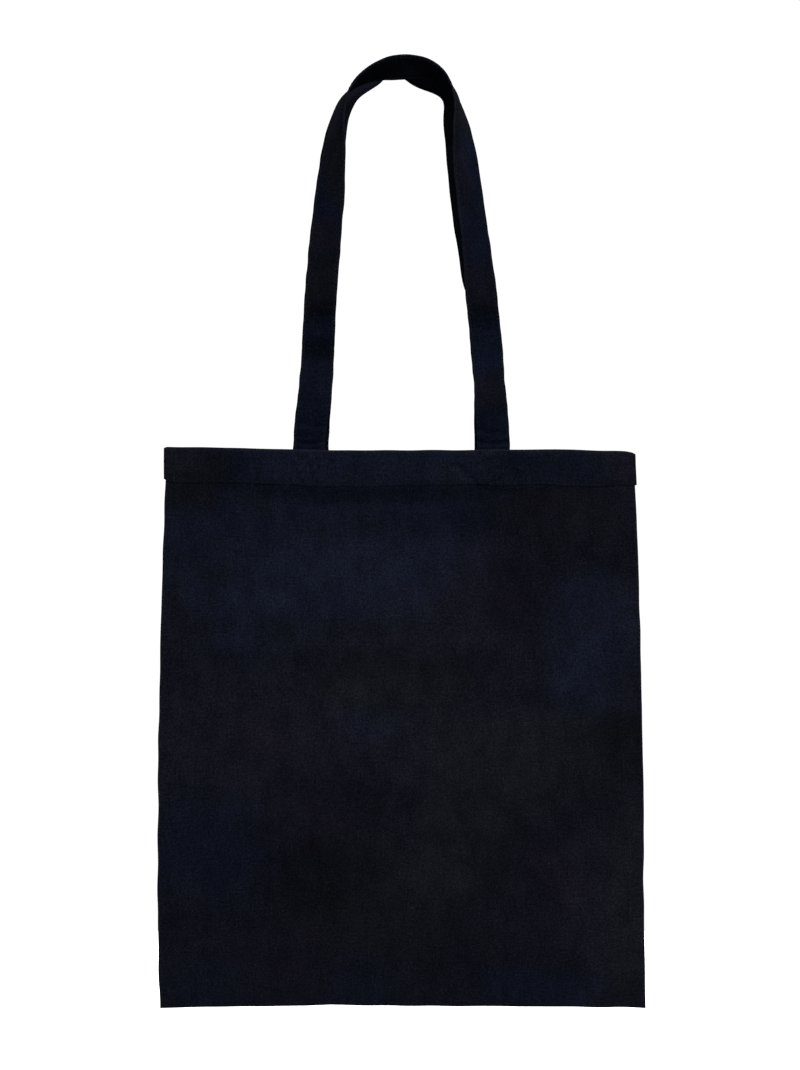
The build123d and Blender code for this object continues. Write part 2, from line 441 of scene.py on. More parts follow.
@dataclass
class BagForm:
    """Shape of the hanging bag, measured from the frame, with the lie of its cloth.

    The tables are in millimetres. The fields without a value are read from the frame.
    """

    # How far the outline is moved: places across or up, and the move at each.
    MOUTH_X: ClassVar[Row] = (-184, -150, -100, -50, 0, 60, 120, 150, 176, 184)
    MOUTH_LIFT: ClassVar[Row] = (2.2, 1.7, 0.4, -0.7, -0.7, -0.5, 0.0, -0.6, -1.6, -2.7)
    FOOT_X: ClassVar[Row] = (-190, -170, -120, -75, -55, -33, 20, 80, 140, 190)
    FOOT_LIFT: ClassVar[Row] = (-2.4, -1.8, -1.1, -0.5, 0.3, -0.3, -0.8, -1.1, -1.6, -2.2)
    HEM_X: ClassVar[Row] = (
        -184, -178, -165, -140, -90, -70, -30, 0, 40, 55, 75, 110, 128, 148, 165, 184,
    )
    HEM_DROP: ClassVar[Row] = (
        0, 1.8, 2.4, 1.8, 2.2, 3.2, 3.4, 2.4, 2.0, 1.6, 2.8, 1.9, 3.3, 3.1, 1.6, 0,
    )
    EDGE_UP: ClassVar[Row] = (0, 20, 50, 85, 170, 210, 240, 300, 380, 410, 434)
    LEFT_OUT: ClassVar[Row] = (-1.4, -0.4, 0.1, 0.7, 0.9, 1.2, 0.8, 0.8, 0.6, 0.6, 0.4)
    RIGHT_OUT: ClassVar[Row] = (1.9, 1.6, 0.8, 0.4, 0.9, 0.5, 0.3, 0.4, 0.2, -0.3, -1.4)
    WAVER: ClassVar[float] = 0.10  # unevenness of the mouth and of the foot
    SIDE_WAVER: ClassVar[float] = 0.14
    # Drag folds: from x and up, to x and up, half width and depth. Up is from the mouth.
    FOLDS: ClassVar[tuple[Row, ...]] = (
        (43, -11, 60, -26, 2.4, 1.3), (56, -28, 86, -31, 2.6, 0.9), (-118, -48, -84, -31, 6, 0.5),
        (-58, -31, -46, -66, 6, 0.45), (90, -33, 108, -74, 7, 0.5), (52, -36, 30, -72, 7, 0.4),
        (-150, -29, -128, -33, 3, 0.4), (-20, -30, 12, -32, 3, 0.35),
    )
    HEM_OVERHANG: ClassVar[float] = 1.4 * MM  # how far a hem's ends stand past the panels
    REAR_SHIFT: ClassVar[float] = 3.7  # the rear panel reads another stretch of the waves

    foot: float
    hem_foot: float
    mouth: float
    foot_half_width: float
    mouth_half_width: float
    hem_half_width: float
    hem_face: float
    canvas: float = 0.9 * MM
    hem_thickness: float = 2.4 * MM
    hem_end_thickness: float = 1.5 * MM
    hem_proud: float = 0.3 * MM
    seam: float = 11 * MM
    seam_inner: float = 0.9 * MM
    flat_half_width: float = 90 * MM
    full_depth_rise: float = 300 * MM
    side_rounding: float = 1.8
    side_flare_power: float = 2.5
    foot_rounding: float = 1.3
    wave_height: float = 1 * MM
    broad_waves: float = 1.05
    small_waves: float = 0.30
    box_groove: float = 0.24 * MM
    box_groove_width: float = 0.9 * MM
    base_crumple: float = 0.45 * MM
    base_reach: Span = (15 * MM, 13 * MM)
    hem_pucker: float = 0.20 * MM
    hem_pucker_fall: float = 9 * MM
    seam_pucker: float = 0.26 * MM
    seam_pucker_place: Span = (12 * MM, 7 * MM)
    hem_step: float = 1 * MM
    hem_step_run: float = 6 * MM
    hem_step_reach: float = 48 * MM
    tilt_rise: float = 120 * MM
    sag_reach: float = 30 * MM
    drop_reach: float = 13 * MM
    strap_bases: dict[Side, Span] = field(default_factory=dict)
    soft: Ripples = field(default_factory=lambda: Ripples(11, 85 * MM, 230 * MM))
    small: Ripples = field(default_factory=lambda: Ripples(23, 24 * MM, 60 * MM))
    pucker: Ripples = field(default_factory=lambda: Ripples(37, 8 * MM, 26 * MM, 22))
    crumple: Ripples = field(default_factory=lambda: Ripples(53, 4 * MM, 11 * MM, 24))

    @classmethod
    def from_frame(cls) -> "BagForm":
        """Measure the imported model.

        Returns:
            The form, with its driving sizes read from the nodes.
        """
        panel_low, panel_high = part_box("front_panel")
        hem_low, hem_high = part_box("front_hem")
        return cls(
            foot=panel_low.z,
            hem_foot=hem_low.z,
            mouth=hem_high.z,
            foot_half_width=panel_high.x,
            mouth_half_width=hem_high.x - cls.HEM_OVERHANG,
            hem_half_width=hem_high.x,
            hem_face=-hem_low.y,
            strap_bases={side: (line[0][0] * MM, line[-1][0] * MM) for side, line in LINES.items()},
        )

    def half_width(self, z: Array) -> Array:
        """Half the width of the panels.

        Args:
            z: Heights.

        Returns:
            Half widths, in metres.
        """
        climb = np.clip((z - self.foot) / (self.hem_foot - self.foot), 0, 1)
        flare = (self.foot_half_width - self.mouth_half_width) * (1 - climb**self.side_flare_power)
        return self.mouth_half_width + flare

    def side_fade(self, x: Array, z: Array) -> Array:
        """How full a panel is between its side seams.

        Args:
            x: Places across the bag.
            z: Heights.

        Returns:
            1 across the flat middle, falling to 0 at the side seams.
        """
        inner = self.half_width(z) - self.seam
        across = (np.abs(x) - self.flat_half_width) / (inner - self.flat_half_width)
        return np.cos(math.pi / 2 * np.clip(across, 0, 1)) ** self.side_rounding

    def foot_fade(self, z: Array) -> Array:
        """0 along the bottom seam, rising to 1 at full depth."""
        climb = (z - self.foot - self.seam) / (self.full_depth_rise - self.seam)
        return np.sin(math.pi / 2 * np.clip(climb, 0, 1)) ** self.foot_rounding

    def panel_face(self, x: Array, z: Array) -> Array:
        """Smooth outer face of a panel.

        Args:
            x: Places across the bag.
            z: Heights.

        Returns:
            Distances from the middle plane.
        """
        lowest = self.seam_inner + self.canvas
        bulge = self.hem_face - self.hem_proud - lowest
        return lowest + bulge * self.side_fade(x, z) * self.foot_fade(z)

    def hem_outer(self, x: Array) -> Array:
        """Smooth outer face of a hem from the middle plane."""
        end = self.seam_inner + self.hem_end_thickness
        return end + (self.hem_face - end) * self.side_fade(x, np.full_like(x, self.hem_foot))

    def hem_depth(self, x: Array) -> Array:
        """Thickness of a hem: three pressed layers, flatter at its ends."""
        fade = self.side_fade(x, np.full_like(x, self.hem_foot))
        return self.hem_end_thickness + (self.hem_thickness - self.hem_end_thickness) * fade

    def shift(self, side: Side) -> float:
        """How far along the waves a panel reads them."""
        return self.REAR_SHIFT if side is Side.REAR else 0.0

    def lie(self, x: Array, z: Array, side: Side) -> Array:
        """How far the cloth stands out from its smooth form, without its small creases.

        Args:
            x: Places across the bag.
            z: Heights.
            side: Which panel.

        Returns:
            Distances outwards, in metres.
        """
        x_read = x + self.shift(side)
        from_side = self.half_width(z) - np.abs(x)
        below_hem = self.hem_foot - z
        inside = ease(from_side, 4 * MM, 70 * MM) * ease(z - self.foot, 4 * MM, 90 * MM)
        under_hem = 0.22 + 0.78 * ease(below_hem, -4 * MM, 60 * MM)
        waves = self.broad_waves * self.soft.at(x_read, z) + self.small_waves * self.small.at(x_read, z)
        return waves * self.wave_height * inside * under_hem

    def relief(self, x: Array, z: Array, side: Side) -> Array:
        """How far the cloth stands out from its smooth form, with every crease.

        Args:
            x: Places across the bag.
            z: Heights.
            side: Which panel.

        Returns:
            Distances outwards, in metres.
        """
        shift = self.shift(side)
        from_side = self.half_width(z) - np.abs(x)
        from_foot = z - self.foot
        below_hem = np.clip(self.hem_foot - z, 0, None)
        base_wide, base_high = self.base_reach
        lie = self.lie(x, z, side)
        for x0, up0, x1, up1, width, depth in self.FOLDS:
            start, end = (x0 * MM, self.mouth + up0 * MM), (x1 * MM, self.mouth + up1 * MM)
            lie -= depth * MM * self.scored(x, z, start, end, width * MM)
        crumpled = self.crumple.at(x + shift, z)
        for base in self.strap_bases[side]:
            for start, end in box_lines(base, (self.mouth + self.hem_foot) / 2):
                lie -= self.box_groove * self.scored(x, z, start, end, self.box_groove_width)
            near = bump(x, base, base_wide) * bump(z, self.mouth - base_high, base_high)
            lie += self.base_crumple * crumpled * near
        tight = self.pucker.at(x + shift, z * 0.15) * np.exp(-below_hem / self.hem_pucker_fall)
        lie += self.hem_pucker * tight * ease(from_side, 3 * MM, 16 * MM)
        lie += self.puckered(self.pucker.at(x + shift, z * 0.2), from_foot, from_side)
        lie += self.puckered(self.pucker.at(x * 0.2 + shift, z), from_side, from_foot)
        return lie

    def puckered(self, waves: Array, from_seam: Array, from_corner: Array) -> Array:
        """Puckers beside a seam, which fade towards its corner.

        Args:
            waves: Unevenness along the seam.
            from_seam: Distances from the seam.
            from_corner: Distances from the seam that it meets.

        Returns:
            How far they stand out.
        """
        near = bump(from_seam, *self.seam_pucker_place)
        return self.seam_pucker * np.abs(waves) * near * ease(from_corner, 2 * MM, 12 * MM)

    @staticmethod
    def scored(x: Array, z: Array, start: Span, end: Span, width: float) -> Array:
        """A soft line pressed into cloth.

        Args:
            x: Places across.
            z: Heights.
            start: First end of the line, as x and z.
            end: Other end of the line.
            width: How far from the line the cloth is drawn in.

        Returns:
            1 on the line, falling to 0 away from it.
        """
        run = (end[0] - start[0], end[1] - start[1])
        share = ((x - start[0]) * run[0] + (z - start[1]) * run[1]) / (run[0] ** 2 + run[1] ** 2)
        share = np.clip(share, 0, 1)
        away = np.hypot(x - start[0] - share * run[0], z - start[1] - share * run[1])
        return np.exp(-((away / width) ** 2))

    def under_hem(self, x: Array, z: Array) -> Array:
        """How far a panel falls back from its smooth face just below the hem.

        Args:
            x: Places across the bag.
            z: Heights.

        Returns:
            Distances inwards, in metres.
        """
        below = np.clip(self.hem_foot - z, 0, None)
        parted = 0.2 + 0.8 * ease(np.abs(x - 5 * MM), 30 * MM, 130 * MM)
        pressed = (0.06 + 0.36 * np.abs(self.small.at(x, x * 0))) * parted
        back = pressed + (1 - np.exp(-below / self.hem_step_run))
        fading = np.exp(-((below / self.hem_step_reach) ** 2))
        return back * fading * self.side_fade(x, z) * self.hem_step

    def settled(self, x: Array, z: Array) -> tuple[Array, Array]:
        """Let the outline hang as cloth does: a tilted mouth and slightly uneven edges.

        Args:
            x: Places across the bag.
            z: Heights.

        Returns:
            The moved x and z.
        """
        climb = ease(z, self.foot + self.tilt_rise, self.mouth)
        waver = self.WAVER * self.small.at(x, x * 0)
        lifted = np.interp(x / MM, self.MOUTH_X, self.MOUTH_LIFT) + waver
        down = z + lifted * MM * climb
        low = np.exp(-np.clip(z - self.foot, 0, None) / self.sag_reach)
        sag = np.interp(x / MM, self.FOOT_X, self.FOOT_LIFT) + waver
        down += sag * MM * low
        drop = np.interp(x / MM, self.HEM_X, self.HEM_DROP) * MM
        down -= drop * bump(z, self.hem_foot, self.drop_reach)
        edge = np.sign(x) * (np.abs(x) / self.half_width(z)) ** 4
        up = (z - self.foot) / MM
        out = np.interp(up, self.EDGE_UP, self.RIGHT_OUT) * (x > 0)
        out = out + np.interp(up, self.EDGE_UP, self.LEFT_OUT) * (x <= 0)
        out = out + self.SIDE_WAVER * self.small.at(z, z * 0 + np.sign(x))
        return x + out * edge * MM, down


# ---------------------------------------------------------------- finishes


class Graph:
    """Small helper that places and links shader nodes in one tree."""

    def __init__(self, tree: bpy.types.NodeTree) -> None:
        """Work in this tree."""
        self.tree = tree

    def add(self, kind: str, **settings: object) -> bpy.types.Node:
        """Place a node.

        Args:
            kind: Blender's name of the node type.
            **settings: Properties of the node.

        Returns:
            The new node.
        """
        node = self.tree.nodes.new(kind)
        for key, value in settings.items():
            setattr(node, key, value)
        return node

    def feed(self, socket: bpy.types.NodeSocket, value: object) -> None:
        """Link a socket to another, or give it a plain value.

        Args:
            socket: Input to feed.
            value: Socket or plain value; None leaves the input as it is.
        """
        if isinstance(value, bpy.types.NodeSocket):
            self.tree.links.new(value, socket)
        elif value is not None:
            socket.default_value = value

    def math(self, operation: str, *values: object, clamp: bool = False) -> bpy.types.NodeSocket:
        """Do arithmetic.

        Args:
            operation: Blender's name of the operation.
            *values: Sockets or numbers.
            clamp: Whether to keep the result between 0 and 1.

        Returns:
            The result's socket.
        """
        node = self.add("ShaderNodeMath", operation=operation, use_clamp=clamp)
        for socket, value in zip(node.inputs, values):
            self.feed(socket, value)
        return node.outputs[0]

    def times(self, *values: object) -> bpy.types.NodeSocket:
        """Multiply sockets and numbers in their order.

        Args:
            *values: Sockets or numbers.

        Returns:
            The product's socket.
        """
        product = values[0]
        for value in values[1:]:
            product = self.math("MULTIPLY", product, value)
        return product

    def give(self, node: bpy.types.Node, values: dict[str, object]) -> None:
        """Link or set inputs of a node by their names."""
        for label, value in values.items():
            self.feed(node.inputs[label], value)

    def remap(self, value: object, low: float, high: float, to: Span) -> bpy.types.NodeSocket:
        """Stretch a value smoothly from one range to another.

        Args:
            value: Socket to read.
            low: Value that becomes the first of to.
            high: Value that becomes the second of to.
            to: New range.

        Returns:
            The result's socket.
        """
        node = self.add("ShaderNodeMapRange", interpolation_type="SMOOTHSTEP")
        for socket, number in zip(node.inputs, (value, low, high, *to)):
            self.feed(socket, number)
        return node.outputs[0]

    def noise(
        self, vector: object, scale: float, detail: float = 3.0, rough: float = 0.5
    ) -> bpy.types.NodeSocket:
        """Read smooth noise.

        Args:
            vector: Socket with the place.
            scale: Noise features in a unit of length.
            detail: Number of finer layers.
            rough: Strength of the finer layers.

        Returns:
            The noise's value.
        """
        node = self.add("ShaderNodeTexNoise")
        self.give(node, {"Vector": vector, "Scale": scale, "Detail": detail, "Roughness": rough})
        return node.outputs["Fac"]

    def split(self, vector: object) -> Sequence[bpy.types.NodeSocket]:
        """Take a vector apart.

        Args:
            vector: Socket with the vector.

        Returns:
            The sockets of its three parts.
        """
        node = self.add("ShaderNodeSeparateXYZ")
        self.feed(node.inputs[0], vector)
        return node.outputs

    def stretched(self, vector: object, scale: Point) -> bpy.types.NodeSocket:
        """Multiply each axis of a place.

        Args:
            vector: Socket with the place.
            scale: Factor for each axis.

        Returns:
            The stretched place's socket.
        """
        node = self.add("ShaderNodeVectorMath", operation="MULTIPLY")
        self.feed(node.inputs[0], vector)
        node.inputs[1].default_value = scale
        return node.outputs[0]

    def blend(self, share: object, first: object, second: object) -> bpy.types.NodeSocket:
        """Mix two colours.

        Args:
            share: How much of the second colour.
            first: Socket or colour.
            second: Socket or colour.

        Returns:
            The mixed colour's socket.
        """
        node = self.add("ShaderNodeMix", data_type="RGBA")
        self.feed(node.inputs[0], share)
        for socket, value in ((node.inputs[6], first), (node.inputs[7], second)):
            self.feed(socket, (*value, 1.0) if isinstance(value, tuple) else value)
        return node.outputs[2]

    def bumped(self, height: object, distance: float, strength: float) -> bpy.types.NodeSocket:
        """Normals of a fine relief.

        Args:
            height: Socket with the height, from 0 to 1.
            distance: Real height of a whole step, in metres.
            strength: How much of it shows.

        Returns:
            The normal's socket.
        """
        node = self.add("ShaderNodeBump")
        self.give(node, {"Distance": distance, "Strength": strength, "Height": height})
        return node.outputs["Normal"]

    def seen_or_lit(self, seen: object, lit: object) -> bpy.types.NodeSocket:
        """Show the camera one shader and every other ray another.

        Args:
            seen: Shader that the camera sees.
            lit: Shader that gives back light.

        Returns:
            The mixed shader's socket.
        """
        choose = self.add("ShaderNodeMixShader")
        self.feed(choose.inputs[0], self.add("ShaderNodeLightPath").outputs["Is Camera Ray"])
        self.feed(choose.inputs[1], lit)
        self.feed(choose.inputs[2], seen)
        return choose.outputs[0]


def new_material(name: str) -> tuple[bpy.types.Material, Graph, bpy.types.Node]:
    """Start a material.

    Args:
        name: Its name.

    Returns:
        The material, the graph of its nodes and its main shader.
    """
    material = bpy.data.materials.new(name)
    material.use_nodes = True
    return material, Graph(material.node_tree), material.node_tree.nodes["Principled BSDF"]


def shader_group(
    name: str,
    inputs: Sequence[tuple[str, str, float | None]],
    outputs: Sequence[str],
    wire: Callable[[Graph, dict, dict], None],
) -> bpy.types.NodeTree:
    """Make a node group once, and hand it out after that.

    Args:
        name: Name of the group.
        inputs: Name, kind of socket and first value of each input.
        outputs: Name of each output, all of them numbers.
        wire: Places the nodes between the group's inputs and outputs.

    Returns:
        The group.
    """
    made = bpy.data.node_groups.get(name)
    if made:
        return made
    tree = bpy.data.node_groups.new(name, "ShaderNodeTree")
    for label, kind, value in inputs:
        socket = tree.interface.new_socket(name=label, in_out="INPUT", socket_type=kind)
        if value is not None:
            socket.default_value = value
    for label in outputs:
        tree.interface.new_socket(name=label, in_out="OUTPUT", socket_type="NodeSocketFloat")
    graph = Graph(tree)
    start = graph.add("NodeGroupInput")
    end = graph.add("NodeGroupOutput")
    wire(graph, start.outputs, end.inputs)
    return tree


def wire_weave(graph: Graph, given: dict, out: dict) -> None:
    """Plain weave: warp and weft threads pass over and under, each a little uneven.

    Args:
        graph: Where the nodes are placed.
        given: The group's inputs by name.
        out: The group's outputs by name.
    """
    per_thread = graph.add("ShaderNodeVectorMath", operation="DIVIDE")
    graph.feed(per_thread.inputs[0], given["Cloth"])
    pitch = graph.add("ShaderNodeCombineXYZ")
    for socket in pitch.inputs:
        graph.feed(socket, given["Pitch"])
    graph.feed(per_thread.inputs[1], pitch.outputs[0])
    cloth = per_thread.outputs[0]
    warp_slub = graph.noise(graph.stretched(cloth, (0.9, 0.06, 1.0)), 1.0, 2.0)
    weft_slub = graph.noise(graph.stretched(cloth, (0.06, 0.9, 1.0)), 1.0, 2.0)
    drift = graph.noise(graph.stretched(cloth, (0.11, 0.11, 1.0)), 1.0, 2.0)
    across, up, _ = graph.split(cloth)
    uneven = given["Slub"]
    x = graph.math("MULTIPLY_ADD", graph.math("SUBTRACT", drift, 0.5), uneven, across)
    x = graph.math("MULTIPLY_ADD", graph.math("SUBTRACT", warp_slub, 0.5), uneven, x)
    y = graph.math("MULTIPLY_ADD", graph.math("SUBTRACT", weft_slub, 0.5), uneven, up)
    wave_x = graph.math("SINE", graph.times(x, math.pi))
    wave_y = graph.math("SINE", graph.times(y, math.pi))
    over = graph.remap(graph.times(wave_x, wave_y), -0.4, 0.4, (0.0, 1.0))
    round_x = graph.math("POWER", graph.math("ABSOLUTE", wave_x), 0.6)
    round_y = graph.math("POWER", graph.math("ABSOLUTE", wave_y), 0.6)
    fat_warp = graph.remap(warp_slub, 0.25, 0.75, (0.8, 1.15))
    fat_weft = graph.remap(weft_slub, 0.25, 0.75, (0.8, 1.15))
    under = graph.math("SUBTRACT", 1.0, over)
    warp, weft = graph.times(round_x, fat_warp, over), graph.times(round_y, fat_weft, under)
    height = graph.math("ADD", warp, weft)
    graph.feed(out["Height"], height)
    cell = graph.add("ShaderNodeCombineXYZ")
    graph.feed(cell.inputs[0], graph.math("FLOOR", x))
    graph.feed(cell.inputs[1], graph.math("FLOOR", y))
    crossing = graph.add("ShaderNodeTexWhiteNoise", noise_dimensions="2D")
    graph.feed(crossing.inputs["Vector"], cell.outputs[0])
    lean = graph.math("ADD", graph.times(over, warp_slub), graph.times(under, weft_slub))
    spun = graph.math("MULTIPLY_ADD", graph.math("SUBTRACT", crossing.outputs["Value"], 0.5), 0.35, lean)
    graph.feed(out["Thread"], spun)
    graph.feed(out["Gap"], graph.remap(height, 0.12, 0.55, (1.0, 0.0)))


TINTS = ("Blue", "Ash", "Plum")
# Where the dye took unevenly (the three tints), with patches of painted light and of painted
# shade after them: middle across, middle up, half width and half height of each patch, in
# metres on the cloth.
BODY_DYE_AND_LIGHT = {
    "Blue": (
        (-0.090, -0.365, 0.130, 0.085), (0.010, -0.350, 0.085, 0.060), (-0.145, -0.600, 0.050, 0.055),
        (0.145, -0.445, 0.045, 0.055), (-0.030, -0.698, 0.030, 0.025), (-0.150, -0.700, 0.045, 0.022),
        (0.110, -0.705, 0.050, 0.016), (-0.050, -0.300, 0.150, 0.035), (-0.025, -0.497, 0.030, 0.018),
        (0.110, -0.302, 0.055, 0.015),
    ),
    "Ash": (
        (0.100, -0.535, 0.110, 0.045), (-0.015, -0.640, 0.080, 0.055), (-0.010, -0.470, 0.070, 0.035),
        (0.178, -0.640, 0.025, 0.090), (-0.175, -0.310, 0.040, 0.030), (0.050, -0.600, 0.050, 0.050),
        (0.135, -0.340, 0.060, 0.020),
    ),
    "Plum": (
        (-0.100, -0.523, 0.075, 0.038), (0.115, -0.630, 0.060, 0.060), (-0.090, -0.685, 0.060, 0.025),
        (0.078, -0.395, 0.040, 0.045), (0.130, -0.342, 0.060, 0.022), (0.000, -0.445, 0.050, 0.018),
        (-0.060, -0.575, 0.060, 0.030), (0.178, -0.302, 0.018, 0.020),
    ),
    # Painted light: lighter patches where more light falls on the panel.
    "Faded": (
        (-0.040, -0.400, 0.150, 0.055), (-0.100, -0.515, 0.120, 0.060), (0.050, -0.530, 0.110, 0.055),
        (0.150, -0.440, 0.045, 0.050), (0.165, -0.650, 0.050, 0.080), (0.020, -0.600, 0.050, 0.045),
    ),
    # Painted shade: a band along the hem's foot and other darker patches.
    "Deep": (
        (0.120, -0.345, 0.080, 0.045), (-0.165, -0.312, 0.045, 0.028), (0.000, -0.322, 0.180, 0.010),
        (-0.060, -0.620, 0.050, 0.030), (0.090, -0.395, 0.030, 0.040), (0.110, -0.302, 0.060, 0.012),
        (0.175, -0.520, 0.030, 0.030),
    ),
}
STRAP_DYE_AND_LIGHT = {
    "Blue": (
        (0.038, 0.030, 0.04, 0.045), (0.038, 0.092, 0.03, 0.016), (0.036, 0.190, 0.03, 0.022),
        (0.040, 0.438, 0.03, 0.032), (0.036, 0.485, 0.03, 0.040), (0.038, 0.578, 0.03, 0.030),
        (0.038, 0.640, 0.04, 0.020),
    ),
    "Ash": ((0.038, 0.128, 0.03, 0.012), (0.028, 0.225, 0.014, 0.040), (0.038, 0.388, 0.03, 0.024)),
    "Plum": (
        (0.036, 0.168, 0.03, 0.012), (0.036, 0.270, 0.03, 0.028), (0.030, 0.440, 0.012, 0.030),
        (0.036, 0.525, 0.03, 0.012), (0.038, 0.612, 0.03, 0.012),
    ),
    # Painted light: highlights, mostly on the shoulders of the loop.
    "Faded": (
        (0.047, 0.268, 0.014, 0.030), (0.045, 0.388, 0.018, 0.026), (0.038, 0.056, 0.03, 0.015),
        (0.038, 0.600, 0.03, 0.020), (0.040, 0.420, 0.012, 0.030),
    ),
    # Painted shade: darker patches in creases and over the top of the loop.
    "Deep": (
        (0.036, 0.079, 0.02, 0.010), (0.036, 0.107, 0.03, 0.010), (0.038, 0.552, 0.02, 0.010),
        (0.038, 0.325, 0.05, 0.045),
    ),
}


PATCHES = {Dye.BODY: BODY_DYE_AND_LIGHT, Dye.STRAP: STRAP_DYE_AND_LIGHT}


def wire_lie(dye: Dye) -> Callable[[Graph, dict, dict], None]:
    """Uneven dyeing, painted light and shade: broad patches, finer mottle, nap and scattered lint.

    Args:
        dye: Which table of tints and of painted light and shade.

    Returns:
        The function that wires such a group.
    """

    def wire(graph: Graph, given: dict, out: dict) -> None:
        """Place the patches, then what is finer.

        Args:
            graph: Where the nodes are placed.
            given: The group's inputs by name.
            out: The group's outputs by name.
        """
        cloth = given["Cloth"]
        wander = graph.math("SUBTRACT", graph.noise(cloth, 19.0, 7.0, 0.72), 0.5)
        place_x, place_z, _ = graph.split(cloth)
        for label, spots in PATCHES[dye].items():
            strength = 0.0
            for x, z, wide, high in spots:
                across = graph.times(graph.math("SUBTRACT", place_x, x), 1 / wide)
                up = graph.times(graph.math("SUBTRACT", place_z, z), 1 / high)
                away = graph.math("ADD", graph.math("POWER", across, 2.0), graph.math("POWER", up, 2.0))
                away = graph.math("MULTIPLY_ADD", wander, 5.0, away)
                strength = graph.math("MAXIMUM", strength, graph.remap(away, -0.2, 1.5, (1.0, 0.0)))
            graph.feed(out[label], strength)
        drawn = graph.stretched(cloth, (1.0, 0.4, 1.0))
        graph.feed(out["Mottle"], graph.noise(drawn, 70.0, 6.0, 0.68))
        graph.feed(out["Nap"], graph.remap(graph.noise(cloth, 620.0, 2.0, 0.75), 0.28, 0.72, (0.0, 1.0)))
        fleck = graph.add("ShaderNodeTexVoronoi", feature="F1")
        graph.give(fleck, {"Vector": graph.stretched(cloth, (1.0, 0.45, 1.0)), "Scale": 420.0})
        near = graph.remap(fleck.outputs["Distance"], 0.05, 0.30, (1.0, 0.0))
        chosen = graph.remap(graph.noise(cloth, 60.0, 3.0), 0.48, 0.62, (0.0, 1.0))
        graph.feed(out["Lint"], graph.times(near, chosen))

    return wire


def wire_edge_wear(graph: Graph, given: dict, out: dict) -> None:
    """Edges that are rubbed and carry a painted rim highlight: the marked edges, broken up by noise.

    Args:
        graph: Where the nodes are placed.
        given: The group's inputs by name.
        out: The group's outputs by name.
    """
    marked = graph.add("ShaderNodeAttribute", attribute_name=WEAR_AND_RIM_LIGHT)
    broken = graph.noise(given["Cloth"], 230.0, 3.0, 0.6)
    rubbed = graph.times(marked.outputs["Fac"], graph.remap(broken, 0.3, 0.7, (0.35, 1.0)))
    graph.feed(out["Rubbed"], graph.math("MULTIPLY", rubbed, given["Amount"], clamp=True))


# Inputs and outputs of the shared groups.
CLOTH_INPUT = ("Cloth", "NodeSocketVector", None)
WEAVE_SOCKETS = (
    (CLOTH_INPUT, ("Pitch", "NodeSocketFloat", 0.0008), ("Slub", "NodeSocketFloat", 0.5)),
    ("Height", "Thread", "Gap"),
)
LIE_SOCKETS = ((CLOTH_INPUT,), (*TINTS, "Faded", "Deep", "Mottle", "Nap", "Lint"))
WEAR_SOCKETS = ((CLOTH_INPUT, ("Amount", "NodeSocketFloat", 0.5)), ("Rubbed",))


